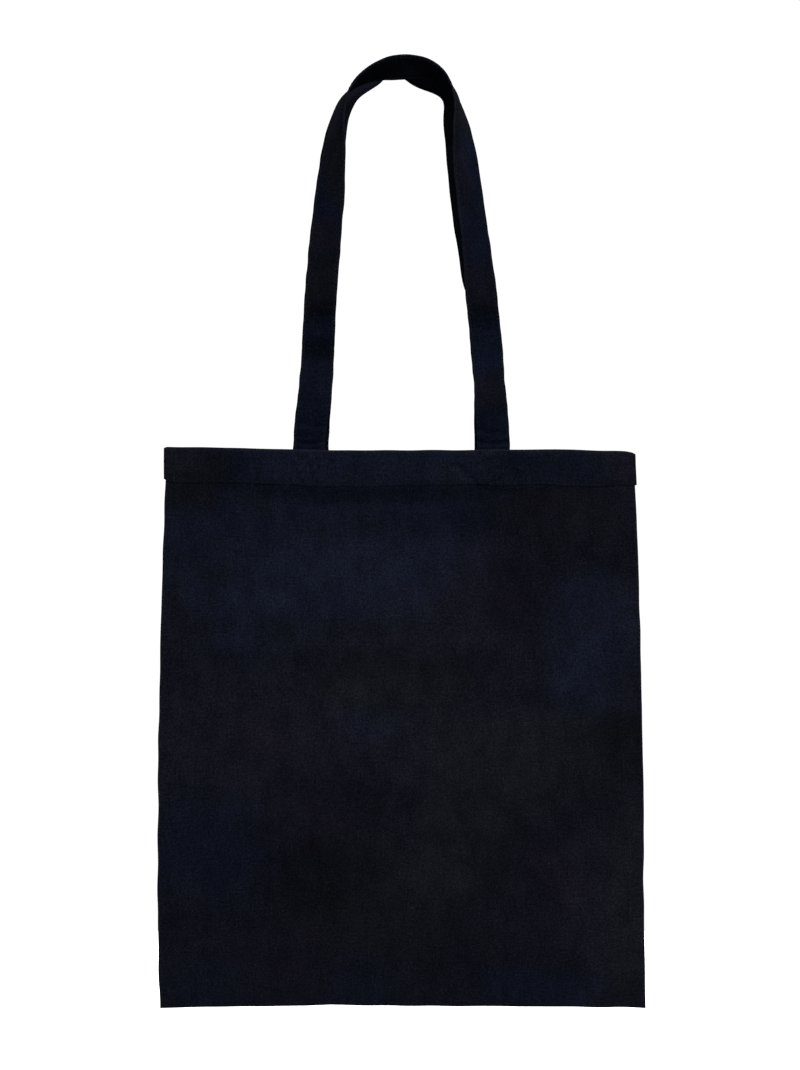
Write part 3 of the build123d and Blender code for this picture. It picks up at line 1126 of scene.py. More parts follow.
@dataclass(frozen=True)
class CanvasFinish:
    """Matt cotton canvas: woven relief, uneven dyeing, lint, rubbed edges, painted light and shade."""

    name: str
    dye: Dye = Dye.BODY
    depth: float = 1.0  # how deep the dye is: above 1 is darker
    patchy: float = 0.75
    # How far the patches of painted light lighten the tone and those of painted shade darken it.
    fading: float = 0.42
    ground: Colour = (0.0050, 0.0054, 0.0090)
    blue: Colour = (0.0043, 0.0060, 0.0126)
    ash: Colour = (0.0060, 0.0064, 0.0082)
    plum: Colour = (0.0060, 0.0054, 0.0100)
    pale: Colour = (0.022, 0.025, 0.033)
    # Colour of the painted shade in the gaps between the threads.
    between: Colour = (0.0012, 0.0014, 0.0020)
    thread_tones: Span = (0.72, 1.28)
    mottle_tones: Span = (0.84, 1.16)
    gap_share: float = 0.45
    lint_share: float = 0.22
    # Share of the pale colour at marked edges: rubbed wear and a painted rim highlight.
    rubbed_share: float = 0.35
    weave: Weave = Weave.BODY
    slub: float = 0.45
    relief: float = 0.12 * MM
    # How strongly marked edges are painted pale, for wear and a painted rim highlight.
    rubbing: float = 0.7
    roughness: Span = (0.98, 0.88)
    sheen: float = 0.004
    sheen_roughness: float = 0.45
    sheen_tint: Colour = (0.75, 0.82, 1.0)

    def build(self) -> bpy.types.Material:
        """Make the material.

        Returns:
            The finished material.
        """
        material, graph, shader = new_material(self.name)
        cloth = graph.add("ShaderNodeUVMap", uv_map=CLOTH_MAP).outputs["UV"]
        weave = self._place(graph, "plain_weave", cloth, WEAVE_SOCKETS, wire_weave)
        graph.give(weave, {"Pitch": self.weave.value, "Slub": self.slub})
        lie = self._place(graph, self.dye.value, cloth, LIE_SOCKETS, wire_lie(self.dye)).outputs
        wear = self._place(graph, "edge_wear", cloth, WEAR_SOCKETS, wire_edge_wear)
        graph.give(wear, {"Amount": self.rubbing})
        dyed = self.ground
        for label, tint in zip(TINTS, (self.blue, self.ash, self.plum)):
            dyed = graph.blend(graph.times(lie[label], self.patchy), dyed, tint)
        thread_tones = tuple(tone / self.depth for tone in self.thread_tones)
        tone = graph.remap(weave.outputs["Thread"], 0.25, 0.75, thread_tones)
        # Patches of painted light lighten the tone and patches of painted shade darken it.
        for label, gain in (("Faded", self.fading), ("Deep", -self.fading)):
            tone = graph.times(tone, graph.math("MULTIPLY_ADD", lie[label], gain * self.patchy, 1.0))
        tone = graph.times(tone, graph.remap(lie["Mottle"], 0.3, 0.7, self.mottle_tones))
        tone = graph.times(tone, graph.math("MULTIPLY_ADD", lie["Nap"], 0.8, 0.6))
        shade = graph.add("ShaderNodeVectorMath", operation="SCALE")
        graph.feed(shade.inputs[0], dyed)
        graph.feed(shade.inputs["Scale"], tone)
        # Painted shade: the weave's gaps between the threads are darkened.
        gap = graph.times(weave.outputs["Gap"], self.gap_share)
        colour = graph.blend(gap, shade.outputs[0], self.between)
        colour = graph.blend(graph.times(lie["Lint"], self.lint_share), colour, self.pale)
        # Marked edges are painted pale: rubbed wear and a painted rim highlight.
        rubbed = graph.times(wear.outputs["Rubbed"], self.rubbed_share)
        height = weave.outputs["Height"]
        raised = graph.math("ADD", height, graph.times(lie["Nap"], 0.5))
        graph.give(shader, {
            "Base Color": graph.blend(rubbed, colour, self.pale),
            "Roughness": graph.remap(height, 0.0, 1.0, self.roughness),
            "Specular IOR Level": 0.0,
            "Sheen Weight": self.sheen,
            "Sheen Roughness": self.sheen_roughness,
            "Sheen Tint": (*self.sheen_tint, 1.0),
            "Normal": graph.bumped(raised, self.relief, 1.0),
        })
        return material

    @staticmethod
    def _place(
        graph: Graph, name: str, cloth: bpy.types.NodeSocket, sockets: tuple, wire: Callable
    ) -> bpy.types.Node:
        """Place a shared group and give it the cloth's places.

        Args:
            graph: Where to place it.
            name: Name of the group.
            cloth: Socket with the places on the cloth.
            sockets: The group's inputs and outputs.
            wire: Function that fills the group.

        Returns:
            The group's node.
        """
        node = graph.add("ShaderNodeGroup", node_tree=shader_group(name, *sockets, wire))
        graph.give(node, {"Cloth": cloth})
        return node


@dataclass(frozen=True)
class ThreadFinish:
    """Spun sewing thread: two twisted plies, slightly paler than the canvas."""

    name: str = "sewing_thread"
    shadow: Colour = (0.0036, 0.0040, 0.0066)
    light: Colour = (0.0066, 0.0076, 0.0120)
    worn: Colour = (0.012, 0.0135, 0.019)
    worn_share: float = 0.7
    turns: float = 16.0  # turns of the plies along a stitch
    relief: float = 0.08 * MM
    roughness: Span = (0.85, 0.62)
    shine: float = 0.03
    sheen: float = 0.004

    def build(self) -> bpy.types.Material:
        """Make the material.

        Returns:
            The finished material.
        """
        material, graph, shader = new_material(self.name)
        place = graph.add("ShaderNodeUVMap", uv_map=CLOTH_MAP).outputs["UV"]
        around, along, _ = graph.split(place)
        around, along = graph.times(around, 1 / MM), graph.times(along, self.turns / MM)
        plies = graph.math("SINE", graph.math("ADD", graph.times(around, 2.0), along))
        ply = graph.remap(plies, -1.0, 1.0, (0.0, 1.0))
        worn = graph.add("ShaderNodeAttribute", attribute_name=WEAR_AND_RIM_LIGHT).outputs["Fac"]
        # The plies get painted shade in their grooves and painted light on their crests.
        spun = graph.blend(ply, self.shadow, self.light)
        graph.give(shader, {
            "Base Color": graph.blend(graph.times(worn, self.worn_share), spun, self.worn),
            "Roughness": graph.remap(plies, -1.0, 1.0, self.roughness),
            "Specular IOR Level": self.shine,
            "Sheen Weight": self.sheen,
            "Normal": graph.bumped(ply, self.relief, 0.8),
        })
        return material


def dress(piece: bpy.types.Object, material: bpy.types.Material) -> bpy.types.Object:
    """Give a piece its finish.

    Args:
        piece: The piece.
        material: Its finish.

    Returns:
        The same piece.
    """
    piece.data.materials.append(material)
    return piece


def fix(piece: bpy.types.Object, *nodes: str) -> bpy.types.Object:
    """Let a piece ride on the bag's body and stand for the model's nodes, where it has any."""
    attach(piece, "bag")
    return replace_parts(piece, *nodes) if nodes else piece


@dataclass
class Wardrobe:
    """Every finish of the bag, built once, and the thread that sews it."""

    body: bpy.types.Material
    strap: bpy.types.Material
    seam: bpy.types.Material
    thread: bpy.types.Material
    stitch: Thread = field(default_factory=Thread)

    @classmethod
    def stocked(cls) -> "Wardrobe":
        """Build the finishes.

        Returns:
            The wardrobe.
        """
        return cls(
            body=CanvasFinish("body_canvas").build(),
            strap=CanvasFinish(
                "strap_canvas",
                Dye.STRAP,
                depth=1.52,
                patchy=0.8,
                blue=(0.0040, 0.0060, 0.0138),
                weave=Weave.STRAP,
                rubbing=0.8,
            ).build(),
            seam=CanvasFinish("seam_canvas", rubbing=0.8).build(),
            thread=ThreadFinish().build(),
        )

    def sew(self, name: str, row: StitchRow, seed: int, rubbed: float = 0.08) -> bpy.types.Object:
        """Sew a row of stitches, dressed as thread."""
        return dress(self.stitch.sew(name, row, seed, rubbed), self.thread)


# ---------------------------------------------------------------- body of the bag


@dataclass
class Panel:
    """One body panel: a single sheet of canvas, rolled in at its seams."""

    form: BagForm
    side: Side
    across: int = 170
    up: int = 176
    tucked: float = 9 * MM
    set_back: float = 0.25 * MM
    roll: float = 1.7 * MM
    rolled_cloth: float = 0.6  # share of the canvas that is left at a rolled edge
    valley: float = 0.12 * MM
    least_thickness: float = 0.05 * MM
    edge_steps: Row = (0.0, 0.12, 0.3, 0.55, 0.85, 1.2, 1.7, 2.6)  # millimetres from the edge
    edge_zone: float = 3.2 * MM

    def _stations(self, count: int, low: float, high: float, rolled_far: bool) -> Array:
        """Places along one way of the sheet, closer together near its rolled edges.

        Args:
            count: Number of even places.
            low: First place, at a rolled edge.
            high: Last place.
            rolled_far: Whether the last edge is rolled too.

        Returns:
            The places in order.
        """
        near = np.array(self.edge_steps) * MM
        even = np.linspace(low, high, count)
        even = even[even > low + self.edge_zone]
        if not rolled_far:
            return np.concatenate([near + low, even])
        return np.concatenate([near + low, even[even < high - self.edge_zone], high - near[::-1]])

    def build(self, wardrobe: Wardrobe) -> bpy.types.Object:
        """Make the sheet with its thickness.

        Args:
            wardrobe: The finishes.

        Returns:
            The panel.
        """
        form = self.form
        foot_width = float(form.half_width(np.array(form.foot)))
        reach = self._stations(self.across, -foot_width, foot_width, True)
        heights = self._stations(self.up, form.foot, form.hem_foot + self.tucked, False)
        share, z = np.meshgrid(reach / foot_width, heights)
        x = share * form.half_width(z)
        from_side, from_foot = form.half_width(z) - np.abs(x), z - form.foot
        edge = np.clip(np.maximum(1 - from_side / self.roll, 1 - from_foot / self.roll), 0, 1)
        rolled = 1 - np.sqrt(1 - edge**2)
        face = form.panel_face(x, z) + form.relief(x, z, self.side) * (1 - edge)
        tucked = ease(z, form.hem_foot - 0.5 * MM, form.hem_foot + 1.5 * MM)
        face = face - tucked * self.set_back - form.under_hem(x, z)
        outer = face + (form.canvas * self.rolled_cloth + self.valley - face) * rolled
        inner = np.maximum(outer - form.canvas, self.valley)
        outer = np.maximum(outer, inner + self.least_thickness)
        moved_x, moved_z = form.settled(x, z)
        sheets = [np.stack([moved_x, self.side.value * y, moved_z], axis=-1) for y in (outer, inner)]
        rows, columns = x.shape
        count = rows * columns
        cloth = np.stack([x, z], axis=-1)
        front = grid_faces(rows, columns)
        back = grid_faces(rows, columns, count)[:, ::-1]
        rim = self._rim(rows, columns)
        strip = [[a, b, b + count, a + count] for a, b in zip(rim, np.roll(rim, -1))]
        faces = front.tolist() + back.tolist() + [f[::-1] for f in strip]
        if self.side is Side.REAR:
            faces = [f[::-1] for f in faces]
        name = f"{self.side.label}_panel"
        # Rolled edges painted pale: rubbed wear and a painted rim highlight along the sides and bottom.
        wear = np.tile(edge**0.5, (2, 1))
        piece = make_mesh(f"{name}_canvas", np.stack(sheets), faces, np.stack([cloth, cloth]), wear)
        return fix(dress(piece, wardrobe.body), name)

    @staticmethod
    def _rim(rows: int, columns: int) -> Array:
        """Walk round the edge of a sheet of points.

        Args:
            rows: Number of rows.
            columns: Points in a row.

        Returns:
            The points' indices, in order.
        """
        index = np.arange(rows * columns).reshape(rows, columns)
        sides = (index[0, :-1], index[:-1, -1], index[-1, :0:-1], index[:0:-1, 0])
        return np.concatenate(sides)


@dataclass
class Hem:
    """Mouth hem of one panel: three pressed layers with a row of stitches."""

    form: BagForm
    side: Side
    pitch: float = 3.4 * MM
    stitch_up: float = 2.2 * MM
    stitch_sunk: float = 0.12 * MM
    groove: float = 0.16 * MM
    groove_width: float = 0.75 * MM
    bulk: float = 0.22 * MM
    edge_radius: float = 1.2 * MM
    corner: float = 3 * MM
    step: float = 0.85 * MM
    tack_inset: float = 6.5 * MM
    tack_height: float = 8 * MM
    tack_stitch: float = 1.7 * MM
    tack_stitches: int = 17
    tack_lean: float = 0.14
    cross_pitch: float = 3.0 * MM
    cross_stitch: float = 2.4 * MM
    cross_sunk: float = 0.06 * MM
    strap_bulk: float = 1.8 * MM

    def _profile(self) -> tuple[Array, Array, Array]:
        """Outline of the hem's section.

        Returns:
            Share of the thickness behind the face, height above the hem's foot in metres,
            and how pale each point is painted, for rubbed wear and a painted highlight on the folds.
        """
        tall = self.form.mouth - self.form.hem_foot
        by_stitches = np.array([1.25, 1.45, 1.7, 2.2, 2.7, 3.1, 3.6])
        rise = np.concatenate([by_stitches, np.arange(4.5, 24.0, 0.95), [24.4]]) * MM
        fall = rise[::-1]
        top = np.linspace(0, math.pi, 9)[1:-1]
        foot = np.linspace(0, math.pi, 7)[1:-1]
        radius, worn = self.edge_radius, 2 * MM
        depth = [0 * rise, 0.5 - 0.5 * np.cos(top), 0 * fall + 1, 0.5 + 0.5 * np.cos(foot)]
        height = [rise, tall - radius + radius * np.sin(top), fall, radius - radius * np.sin(foot)]
        # Painted pale along the top and foot folds: rubbed wear and a painted highlight.
        wear = [bump(rise, tall, worn), np.sin(top), bump(fall, tall, worn), 0.5 * np.sin(foot)]
        return np.concatenate(depth), np.concatenate(height), np.concatenate(wear)

    def build(self, wardrobe: Wardrobe) -> bpy.types.Object:
        """Make the folded band.

        Args:
            wardrobe: The finishes.

        Returns:
            The hem.
        """
        form = self.form
        reach = form.hem_half_width
        rounding = np.array([0.0, 0.1, 0.3, 0.6, 1.0]) * MM
        even = np.linspace(-reach, reach, int(2 * reach / self.step))[2:-2]
        across = np.concatenate([rounding - reach, even, reach - rounding[::-1]])
        depth, height, rubbed = self._profile()
        x, d = np.meshgrid(across, depth, indexing="ij")
        h = np.broadcast_to(height, x.shape)
        from_end = np.clip((reach - np.abs(x)) / self.edge_radius, 0, 1)
        full = np.sqrt(1 - (1 - from_end) ** 2)
        middle_height = (form.mouth - form.hem_foot) / 2
        corner = ease(reach - np.abs(x), 0.0, self.corner)
        h = middle_height + (h - middle_height) * (0.94 + 0.06 * corner) * (0.97 + 0.03 * full)
        d = 0.5 + (d - 0.5) * np.maximum(full, 0.12)
        z = form.hem_foot + h
        thick = form.hem_depth(x)
        sewn = bump(h, self.stitch_up, self.groove_width)
        pull = 0.72 + 0.28 * np.cos(math.tau * x / self.pitch)
        outwards = 1 - 2 * d
        y = form.hem_outer(x) - thick * d - self.groove * sewn * pull * outwards
        y = y + self.bulk * bump(h, 9 * MM, 6 * MM) * outwards + form.relief(x, z, self.side)
        moved_x, moved_z = form.settled(x, z)
        points = np.stack([moved_x, self.side.value * y, moved_z], axis=-1)
        faces = tube_faces(*x.shape)
        if self.side is Side.REAR:
            faces = [f[::-1] for f in faces]
        run = np.where(d < 0.5, z, 2 * form.mouth - z)
        # Folds and ends painted pale: rubbed wear and a painted rim highlight.
        wear = np.broadcast_to(rubbed, x.shape) + 0.8 * (1 - full)
        name = f"{self.side.label}_hem"
        piece = make_mesh(f"{name}_band", points, faces, np.stack([x, run], axis=-1), wear)
        return fix(dress(piece, wardrobe.body), name)

    def on_face(self, x: Array, up: Array, inside: bool = False) -> tuple[Array, Array]:
        """Places on a hem's face, and the way out of the cloth there.

        Args:
            x: Places across.
            up: Heights above the hem's foot.
            inside: Whether the inner face is meant.

        Returns:
            The places, and one outward unit vector for each.
        """
        form = self.form
        z = form.hem_foot + up

        def depth_at(place: Array) -> Array:
            """Distance of that face from the middle plane."""
            inward = form.hem_depth(place) if inside else 0.0
            return form.hem_outer(place) - inward + form.relief(place, z, self.side)

        step = 0.5 * MM
        slope = (depth_at(x + step) - depth_at(x - step)) / (2 * step)
        moved_x, moved_z = form.settled(x, z)
        y = depth_at(x)
        way = np.stack([-slope, self.side.value * np.ones_like(x), np.zeros_like(x)], axis=-1)
        sign = -1.0 if inside else 1.0
        return np.stack([moved_x, self.side.value * y, moved_z], axis=-1), sign * unit(way)

    def sewn_row(self, wardrobe: Wardrobe) -> bpy.types.Object:
        """Row of stitches along the hem's foot, on both faces.

        Args:
            wardrobe: The finishes.

        Returns:
            The stitches.
        """
        reach = self.form.mouth_half_width - self.tack_inset - self.pitch
        count = int(2 * reach / self.pitch)
        x = (np.arange(count) - (count - 1) / 2) * self.pitch
        up = np.full(count, self.stitch_up)
        rows = []
        for inside in (False, True):
            at, out = self.on_face(x, up, inside)
            along = unit(np.cross(out, UPWARDS))
            rows.append(StitchRow(at - out * self.stitch_sunk, along, out))
        name = f"{self.side.label}_hem"
        piece = wardrobe.sew(f"{name}_thread", StitchRow.chained(rows), 5 + self.side.value)
        return fix(piece, f"{name}_stitching")

    def end_tacks(self, wardrobe: Wardrobe) -> bpy.types.Object:
        """Close zigzag of thread over each side seam.

        Args:
            wardrobe: The finishes.

        Returns:
            The tacks at both ends.
        """
        count = self.tack_stitches
        up = np.tile(np.linspace(0.6 * MM, self.tack_height, count), 2)
        hand = np.repeat([-1.0, 1.0], count)
        x = hand * (self.form.mouth_half_width - self.tack_inset)
        at, out = self.on_face(x, up)
        lean = np.tile([self.tack_lean, -self.tack_lean], count)[:, None]
        along = unit(np.cross(out, UPWARDS) + UPWARDS * lean)
        row = StitchRow(at, along, out, self.tack_stitch)
        name = f"{self.side.label}_hem"
        return fix(wardrobe.sew(f"{name}_tacks", row, 71 + self.side.value, 0.1), f"{name}_end_tacks")

    def cross_box(self, hand: Hand, x: float, wardrobe: Wardrobe) -> bpy.types.Object:
        """Box with a cross, sewn through the hem and a handle end.

        Args:
            hand: Which end of the handle.
            x: Middle of the handle's base.
            wardrobe: The finishes.

        Returns:
            The stitches.
        """
        middle = (self.form.mouth - self.form.hem_foot) / 2
        places, ways = [], []
        for (x0, z0), (x1, z1) in box_lines(0.0, 0.0):
            length = math.hypot(x1 - x0, z1 - z0)
            count = round(length / self.cross_pitch)
            share = (np.arange(count) + 0.5) / count
            places.append(np.stack([x0 + (x1 - x0) * share, z0 + (z1 - z0) * share], axis=-1))
            ways.append(np.tile([(x1 - x0) / length, (z1 - z0) / length], (count, 1)))
        spots, ways = np.concatenate(places), np.concatenate(ways)
        rows = []
        for inside in (False, True):
            at, out = self.on_face(x + spots[:, 0], middle + spots[:, 1], inside)
            if inside:
                at = at + out * self.strap_bulk
            along = np.stack([ways[:, 0], np.zeros(len(ways)), ways[:, 1]], axis=-1)
            along -= out * (along * out).sum(1)[:, None]
            sunk = at - out * self.cross_sunk
            rows.append(StitchRow(sunk, unit(along), out, self.cross_stitch))
        name = f"{self.side.label}_{hand.label}_cross"
        seed = 90 + len(f"{name}_thread")
        piece = wardrobe.sew(f"{name}_thread", StitchRow.chained(rows), seed, 0.3)
        return fix(piece, f"{name}_stitching")


@dataclass
class Seam:
    """Raw edges of both panels, turned inside and overcast."""

    form: BagForm
    name: str
    half_thickness: float = 0.72 * MM
    clear_of_roll: float = 2.0 * MM
    foot_trim: float = 2.4 * MM
    step: float = 2.0 * MM
    sides: int = 16
    edge_power: float = 0.35
    face_power: float = 0.6
    ruffle: float = 0.35 * MM
    pitch: float = 2.1 * MM
    lean: float = 0.45
    thread_in: float = 1.2 * MM
    thread_sunk: float = 0.05 * MM

    def _tube(self, spine: Array, inward: Array, reach: float) -> tuple[Array, Array]:
        """Flat strip with rounded edges along a line.

        Args:
            spine: Outer edge of the strip.
            inward: Way towards the inside of the bag, for each point.
            reach: Width of the strip.

        Returns:
            The strip's points, ring by ring, and their places on the cloth.
        """
        angle = np.linspace(0, math.tau, self.sides, endpoint=False)
        half, wide_way, thick_way = self.half_thickness, np.cos(angle), np.sin(angle)
        wide = reach / 2 + (reach / 2) * np.sign(wide_way) * np.abs(wide_way) ** self.edge_power
        thick = half * np.sign(thick_way) * np.abs(thick_way) ** self.face_power
        points = spine[:, None, :] + inward[:, None, :] * wide[None, :, None]
        points = points + np.array([0.0, 1.0, 0.0]) * thick[None, :, None]
        run = np.concatenate([[0.0], np.cumsum(np.linalg.norm(np.diff(spine, axis=0), axis=1))])
        cloth = np.stack(np.broadcast_arrays(wide[None, :], run[:, None]), axis=-1)
        return points, cloth

    def build(
        self, spine: Array, inward: Array, reach: float, wardrobe: Wardrobe, seed: int
    ) -> list[bpy.types.Object]:
        """Make the strip and the thread over its raw edge.

        Args:
            spine: Outer edge of the strip.
            inward: Way towards the inside of the bag, for each point.
            reach: Width of the strip.
            wardrobe: The finishes.
            seed: Start of the random draws.

        Returns:
            The strip and its overcast edge.
        """
        wavy = self.ruffle * self.form.pucker.at(spine[:, 2], spine[:, 0])
        points, cloth = self._tube(spine, inward, reach)
        points = points + (inward * wavy[:, None])[:, None, :] * (cloth[..., :1] / reach)
        wear = (cloth[..., 0] / reach) ** 4
        strip = make_mesh(f"{self.name}_allowance", points, tube_faces(*wear.shape), cloth, wear)
        fix(dress(strip, wardrobe.seam), self.name)
        run = np.linalg.norm(np.diff(spine, axis=0), axis=1).sum()
        at = np.linspace(0, len(spine) - 1, int(run / self.pitch))
        places = self._spread(at, spine + inward * (reach + wavy)[:, None])
        inner_way = self._spread(at, inward)
        travel = unit(np.gradient(places, axis=0))
        rows = []
        for face in (-1.0, 1.0):
            out = np.tile([0.0, face, 0.0], (len(at), 1))
            way = unit(inner_way + travel * self.lean * face)
            raised = out * (self.half_thickness - self.thread_sunk)
            rows.append(StitchRow(places - inner_way * self.thread_in + raised, way, out))
        overcast = wardrobe.sew(f"{self.name}_overcasting", StitchRow.chained(rows), seed)
        return [strip, fix(overcast)]

    @staticmethod
    def _spread(at: Array, rows: Array) -> Array:
        """Rows read at places between them."""
        return np.stack([np.interp(at, np.arange(len(rows)), part) for part in rows.T], axis=-1)


def side_seam(form: BagForm, hand: Hand, wardrobe: Wardrobe) -> list[bpy.types.Object]:
    """Seam allowance down one side, from the mouth to the bottom seam.

    Args:
        form: The bag's form.
        hand: Which side.
        wardrobe: The finishes.

    Returns:
        The strip and its overcast edge.
    """
    seam = Seam(form, f"{hand.label}_side_seam")
    z = np.arange(form.foot + form.seam, form.mouth - 1.5 * MM, seam.step)
    x = hand.value * (form.half_width(z) - seam.clear_of_roll)
    moved_x, moved_z = form.settled(x, z)
    spine = np.stack([moved_x, np.zeros_like(z), moved_z], axis=-1)
    inward = np.tile([-float(hand.value), 0.0, 0.0], (len(z), 1))
    reach = form.seam - seam.clear_of_roll
    return seam.build(spine, inward, reach, wardrobe, 200 + hand.value)


def bottom_seam(form: BagForm, wardrobe: Wardrobe) -> list[bpy.types.Object]:
    """Seam allowance along the bottom.

    Args:
        form: The bag's form.
        wardrobe: The finishes.

    Returns:
        The strip and its overcast edge.
    """
    seam = Seam(form, "bottom_seam")
    reach = form.foot_half_width - seam.clear_of_roll
    x = np.arange(-reach, reach, seam.step)
    z = np.full_like(x, form.foot + seam.clear_of_roll)
    moved_x, moved_z = form.settled(x, z)
    spine = np.stack([moved_x, np.zeros_like(x), moved_z], axis=-1)
    inward = np.tile(UPWARDS, (len(x), 1))
    return seam.build(spine, inward, form.seam - seam.foot_trim, wardrobe, 210)


# ---------------------------------------------------------------- handles


@dataclass
class Crease:
    """A soft fold across a strap: where it lies, how wide and how deep it is.

    Slant moves it along for each metre across, and sag moves its edges along.
    """

    at: float
    width: float
    depth: float
    slant: float = 0.0
    sag: float = 0.0

    def drawn_in(self, travelled: Array, across: Array) -> Array:
        """How far the strap's outer face is drawn in."""
        bowed = self.at + self.slant * across + self.sag * (across / (12 * MM)) ** 2
        return self.depth * bump(travelled, bowed, self.width)


@dataclass
class Handle:
    """One long strap of folded canvas, with both ends held behind the hem."""

    form: BagForm
    side: Side
    line: tuple[Row, ...]
    creases: tuple[Crease, ...]
    width: float = 25.5 * MM
    thickness: float = 1.8 * MM
    sewn_inset: float = 2.2 * MM
    sewn_groove: float = 0.24 * MM
    tuck: float = 29 * MM
    pitch: float = 3.4 * MM
    step: float = 1.4 * MM
    bend_from: float = 1 * MM
    bend_over: float = 17 * MM
    hem_lie_rise: float = 60 * MM
    waviness: float = 0.22 * MM
    end_crumple: float = 0.30 * MM
    crown: float = 0.10 * MM
    fraying: float = 0.012
    thread_sunk: float = 0.20 * MM
    thread_end: float = 3 * MM

    def __post_init__(self) -> None:
        """Lay out the centre line."""
        self.depth = self.form.hem_face - self.form.hem_thickness - self.thickness / 2
        y = self.side.value * self.depth
        points = [(x * MM, y, self.form.mouth + up * MM) for x, up, _ in self.line]
        self.spine = SmoothLine(points, (0, 0, 1), (0, 0, -1))
        self.turns = np.radians([turn for _, _, turn in self.line])
        self.uneven = Ripples(300 + self.side.value, 22 * MM, 90 * MM)

    @property
    def cut_length(self) -> float:
        """Length of the strap, its tucked ends included."""
        return self.spine.length + 2 * self.tuck

    def _turn(self, travelled: Array) -> Array:
        """Turn of the strap about its centre line.

        Args:
            travelled: Distances from the left end.

        Returns:
            Angles in radians: 0 faces forward, a quarter turn is edge-on.
        """
        marks = self.spine.marks / self.spine.marks[-1] * self.spine.length
        gaps = np.diff(marks)
        slopes = np.diff(self.turns) / gaps
        rates = np.zeros(len(marks))
        rates[1:-1] = (slopes[:-1] * gaps[1:] + slopes[1:] * gaps[:-1]) / (gaps[1:] + gaps[:-1])
        k = np.clip(np.searchsorted(marks, travelled) - 1, 0, len(marks) - 2)
        t = (travelled - marks[k]) / gaps[k]
        turn = self.turns[k] + (self.turns[k + 1] - self.turns[k]) * t * t * (3 - 2 * t)
        turn += rates[k] * gaps[k] * t * (1 - t) ** 2
        return turn - rates[k + 1] * gaps[k] * t * t * (1 - t)

    def frames(self, travelled: Array) -> tuple[Array, Array, Array, Array]:
        """Place and axes of the strap, its tucked ends included.

        Args:
            travelled: Distances from the left fold line; below 0 and past the end are tucked.

        Returns:
            The centres, the ways along, across and out of the rear face.
        """
        inside = np.clip(travelled, 0, self.spine.length)
        beyond = (travelled - inside)[:, None]
        along = self.spine.along(inside)
        straight = UPWARDS * np.where(travelled < self.spine.length / 2, 1, -1)[:, None]
        along = np.where(beyond != 0, straight, along)
        centre = self.spine.at(inside) + along * beyond
        forward = np.tile([0.0, -1.0, 0.0], (len(travelled), 1))
        inward = unit(np.cross(along, forward))
        turn = self._turn(inside)[:, None]
        across = inward * np.cos(turn) + forward * np.sin(turn)
        centre = self._hung(centre)
        return centre, along, across, np.cross(along, across)

    def _hung(self, centre: Array) -> Array:
        """Follow the lie of the hem at the strap's foot, fading out above it.

        Args:
            centre: Points of the centre line.

        Returns:
            The moved points.
        """
        low = 1 - ease(centre[:, 2], self.form.mouth, self.form.mouth + self.hem_lie_rise)
        level = np.minimum(centre[:, 2], self.form.mouth)
        out = self.form.lie(centre[:, 0], level, self.side) * low
        _, settled_z = self.form.settled(centre[:, 0], level)
        moved = centre.copy()
        moved[:, 1] += self.side.value * out
        moved[:, 2] += (settled_z - level) * low
        return moved

    def _lie(self, travelled: Array, across: Array) -> Array:
        """Small folds of the strap out of its plane.

        Args:
            travelled: Distances from the left fold line.
            across: Distances from the centre line.

        Returns:
            Heights out of the rear face.
        """
        from_end = np.minimum(travelled, self.spine.length - travelled)
        free = ease(from_end, 2 * MM, 12 * MM)
        crumpled = self.end_crumple * bump(from_end, 12 * MM, 11 * MM) * ease(from_end, 1 * MM, 5 * MM)
        lie = self.waviness * self.uneven.at(travelled, across * 1.5) * free
        lie = lie + crumpled * self.form.crumple.at(travelled + self.side.value, across * 0.8)
        for crease in self.creases:
            lie = lie - self.side.value * crease.drawn_in(travelled, across)
        return lie

    def _section(self) -> tuple[Array, Array, Array]:
        """Outline of the strap's section.

        Returns:
            Distance across, height out of the middle, and how pale each point is painted,
            for rubbed wear and a painted rim highlight along the edges.
        """
        half, thick = self.width / 2, self.thickness / 2
        sewn = half - self.sewn_inset
        bank = np.array([0, 2.6, 5.2, 7.4, 8.8, 9.6, 10.1, 10.55, 11.0, 11.45, 11.85]) * MM
        right = np.concatenate([bank, half - thick + thick * np.sin(np.linspace(0.25, 1, 6) * math.pi / 2)])
        across = np.concatenate([-right[:0:-1], right])
        rim = np.clip((np.abs(across) - (half - thick)) / thick, 0, 1)
        # Edges painted pale: rubbed wear and a painted rim highlight.
        rubbed = 0.28 * ease(np.abs(across), sewn + 0.2 * MM, sewn + 0.9 * MM) + 0.5 * rim
        height = thick * np.sqrt(1 - rim**2) - self.sewn_groove * bump(np.abs(across), sewn, 0.65 * MM)
        height = height + self.crown * bump(np.abs(across), 6 * MM, 4 * MM)
        height[[0, -1]] = 0.0
        back = slice(-2, 0, -1)
        return (
            np.concatenate([across, across[back]]),
            np.concatenate([height, -height[back]]),
            np.concatenate([rubbed, rubbed[back]]),
        )

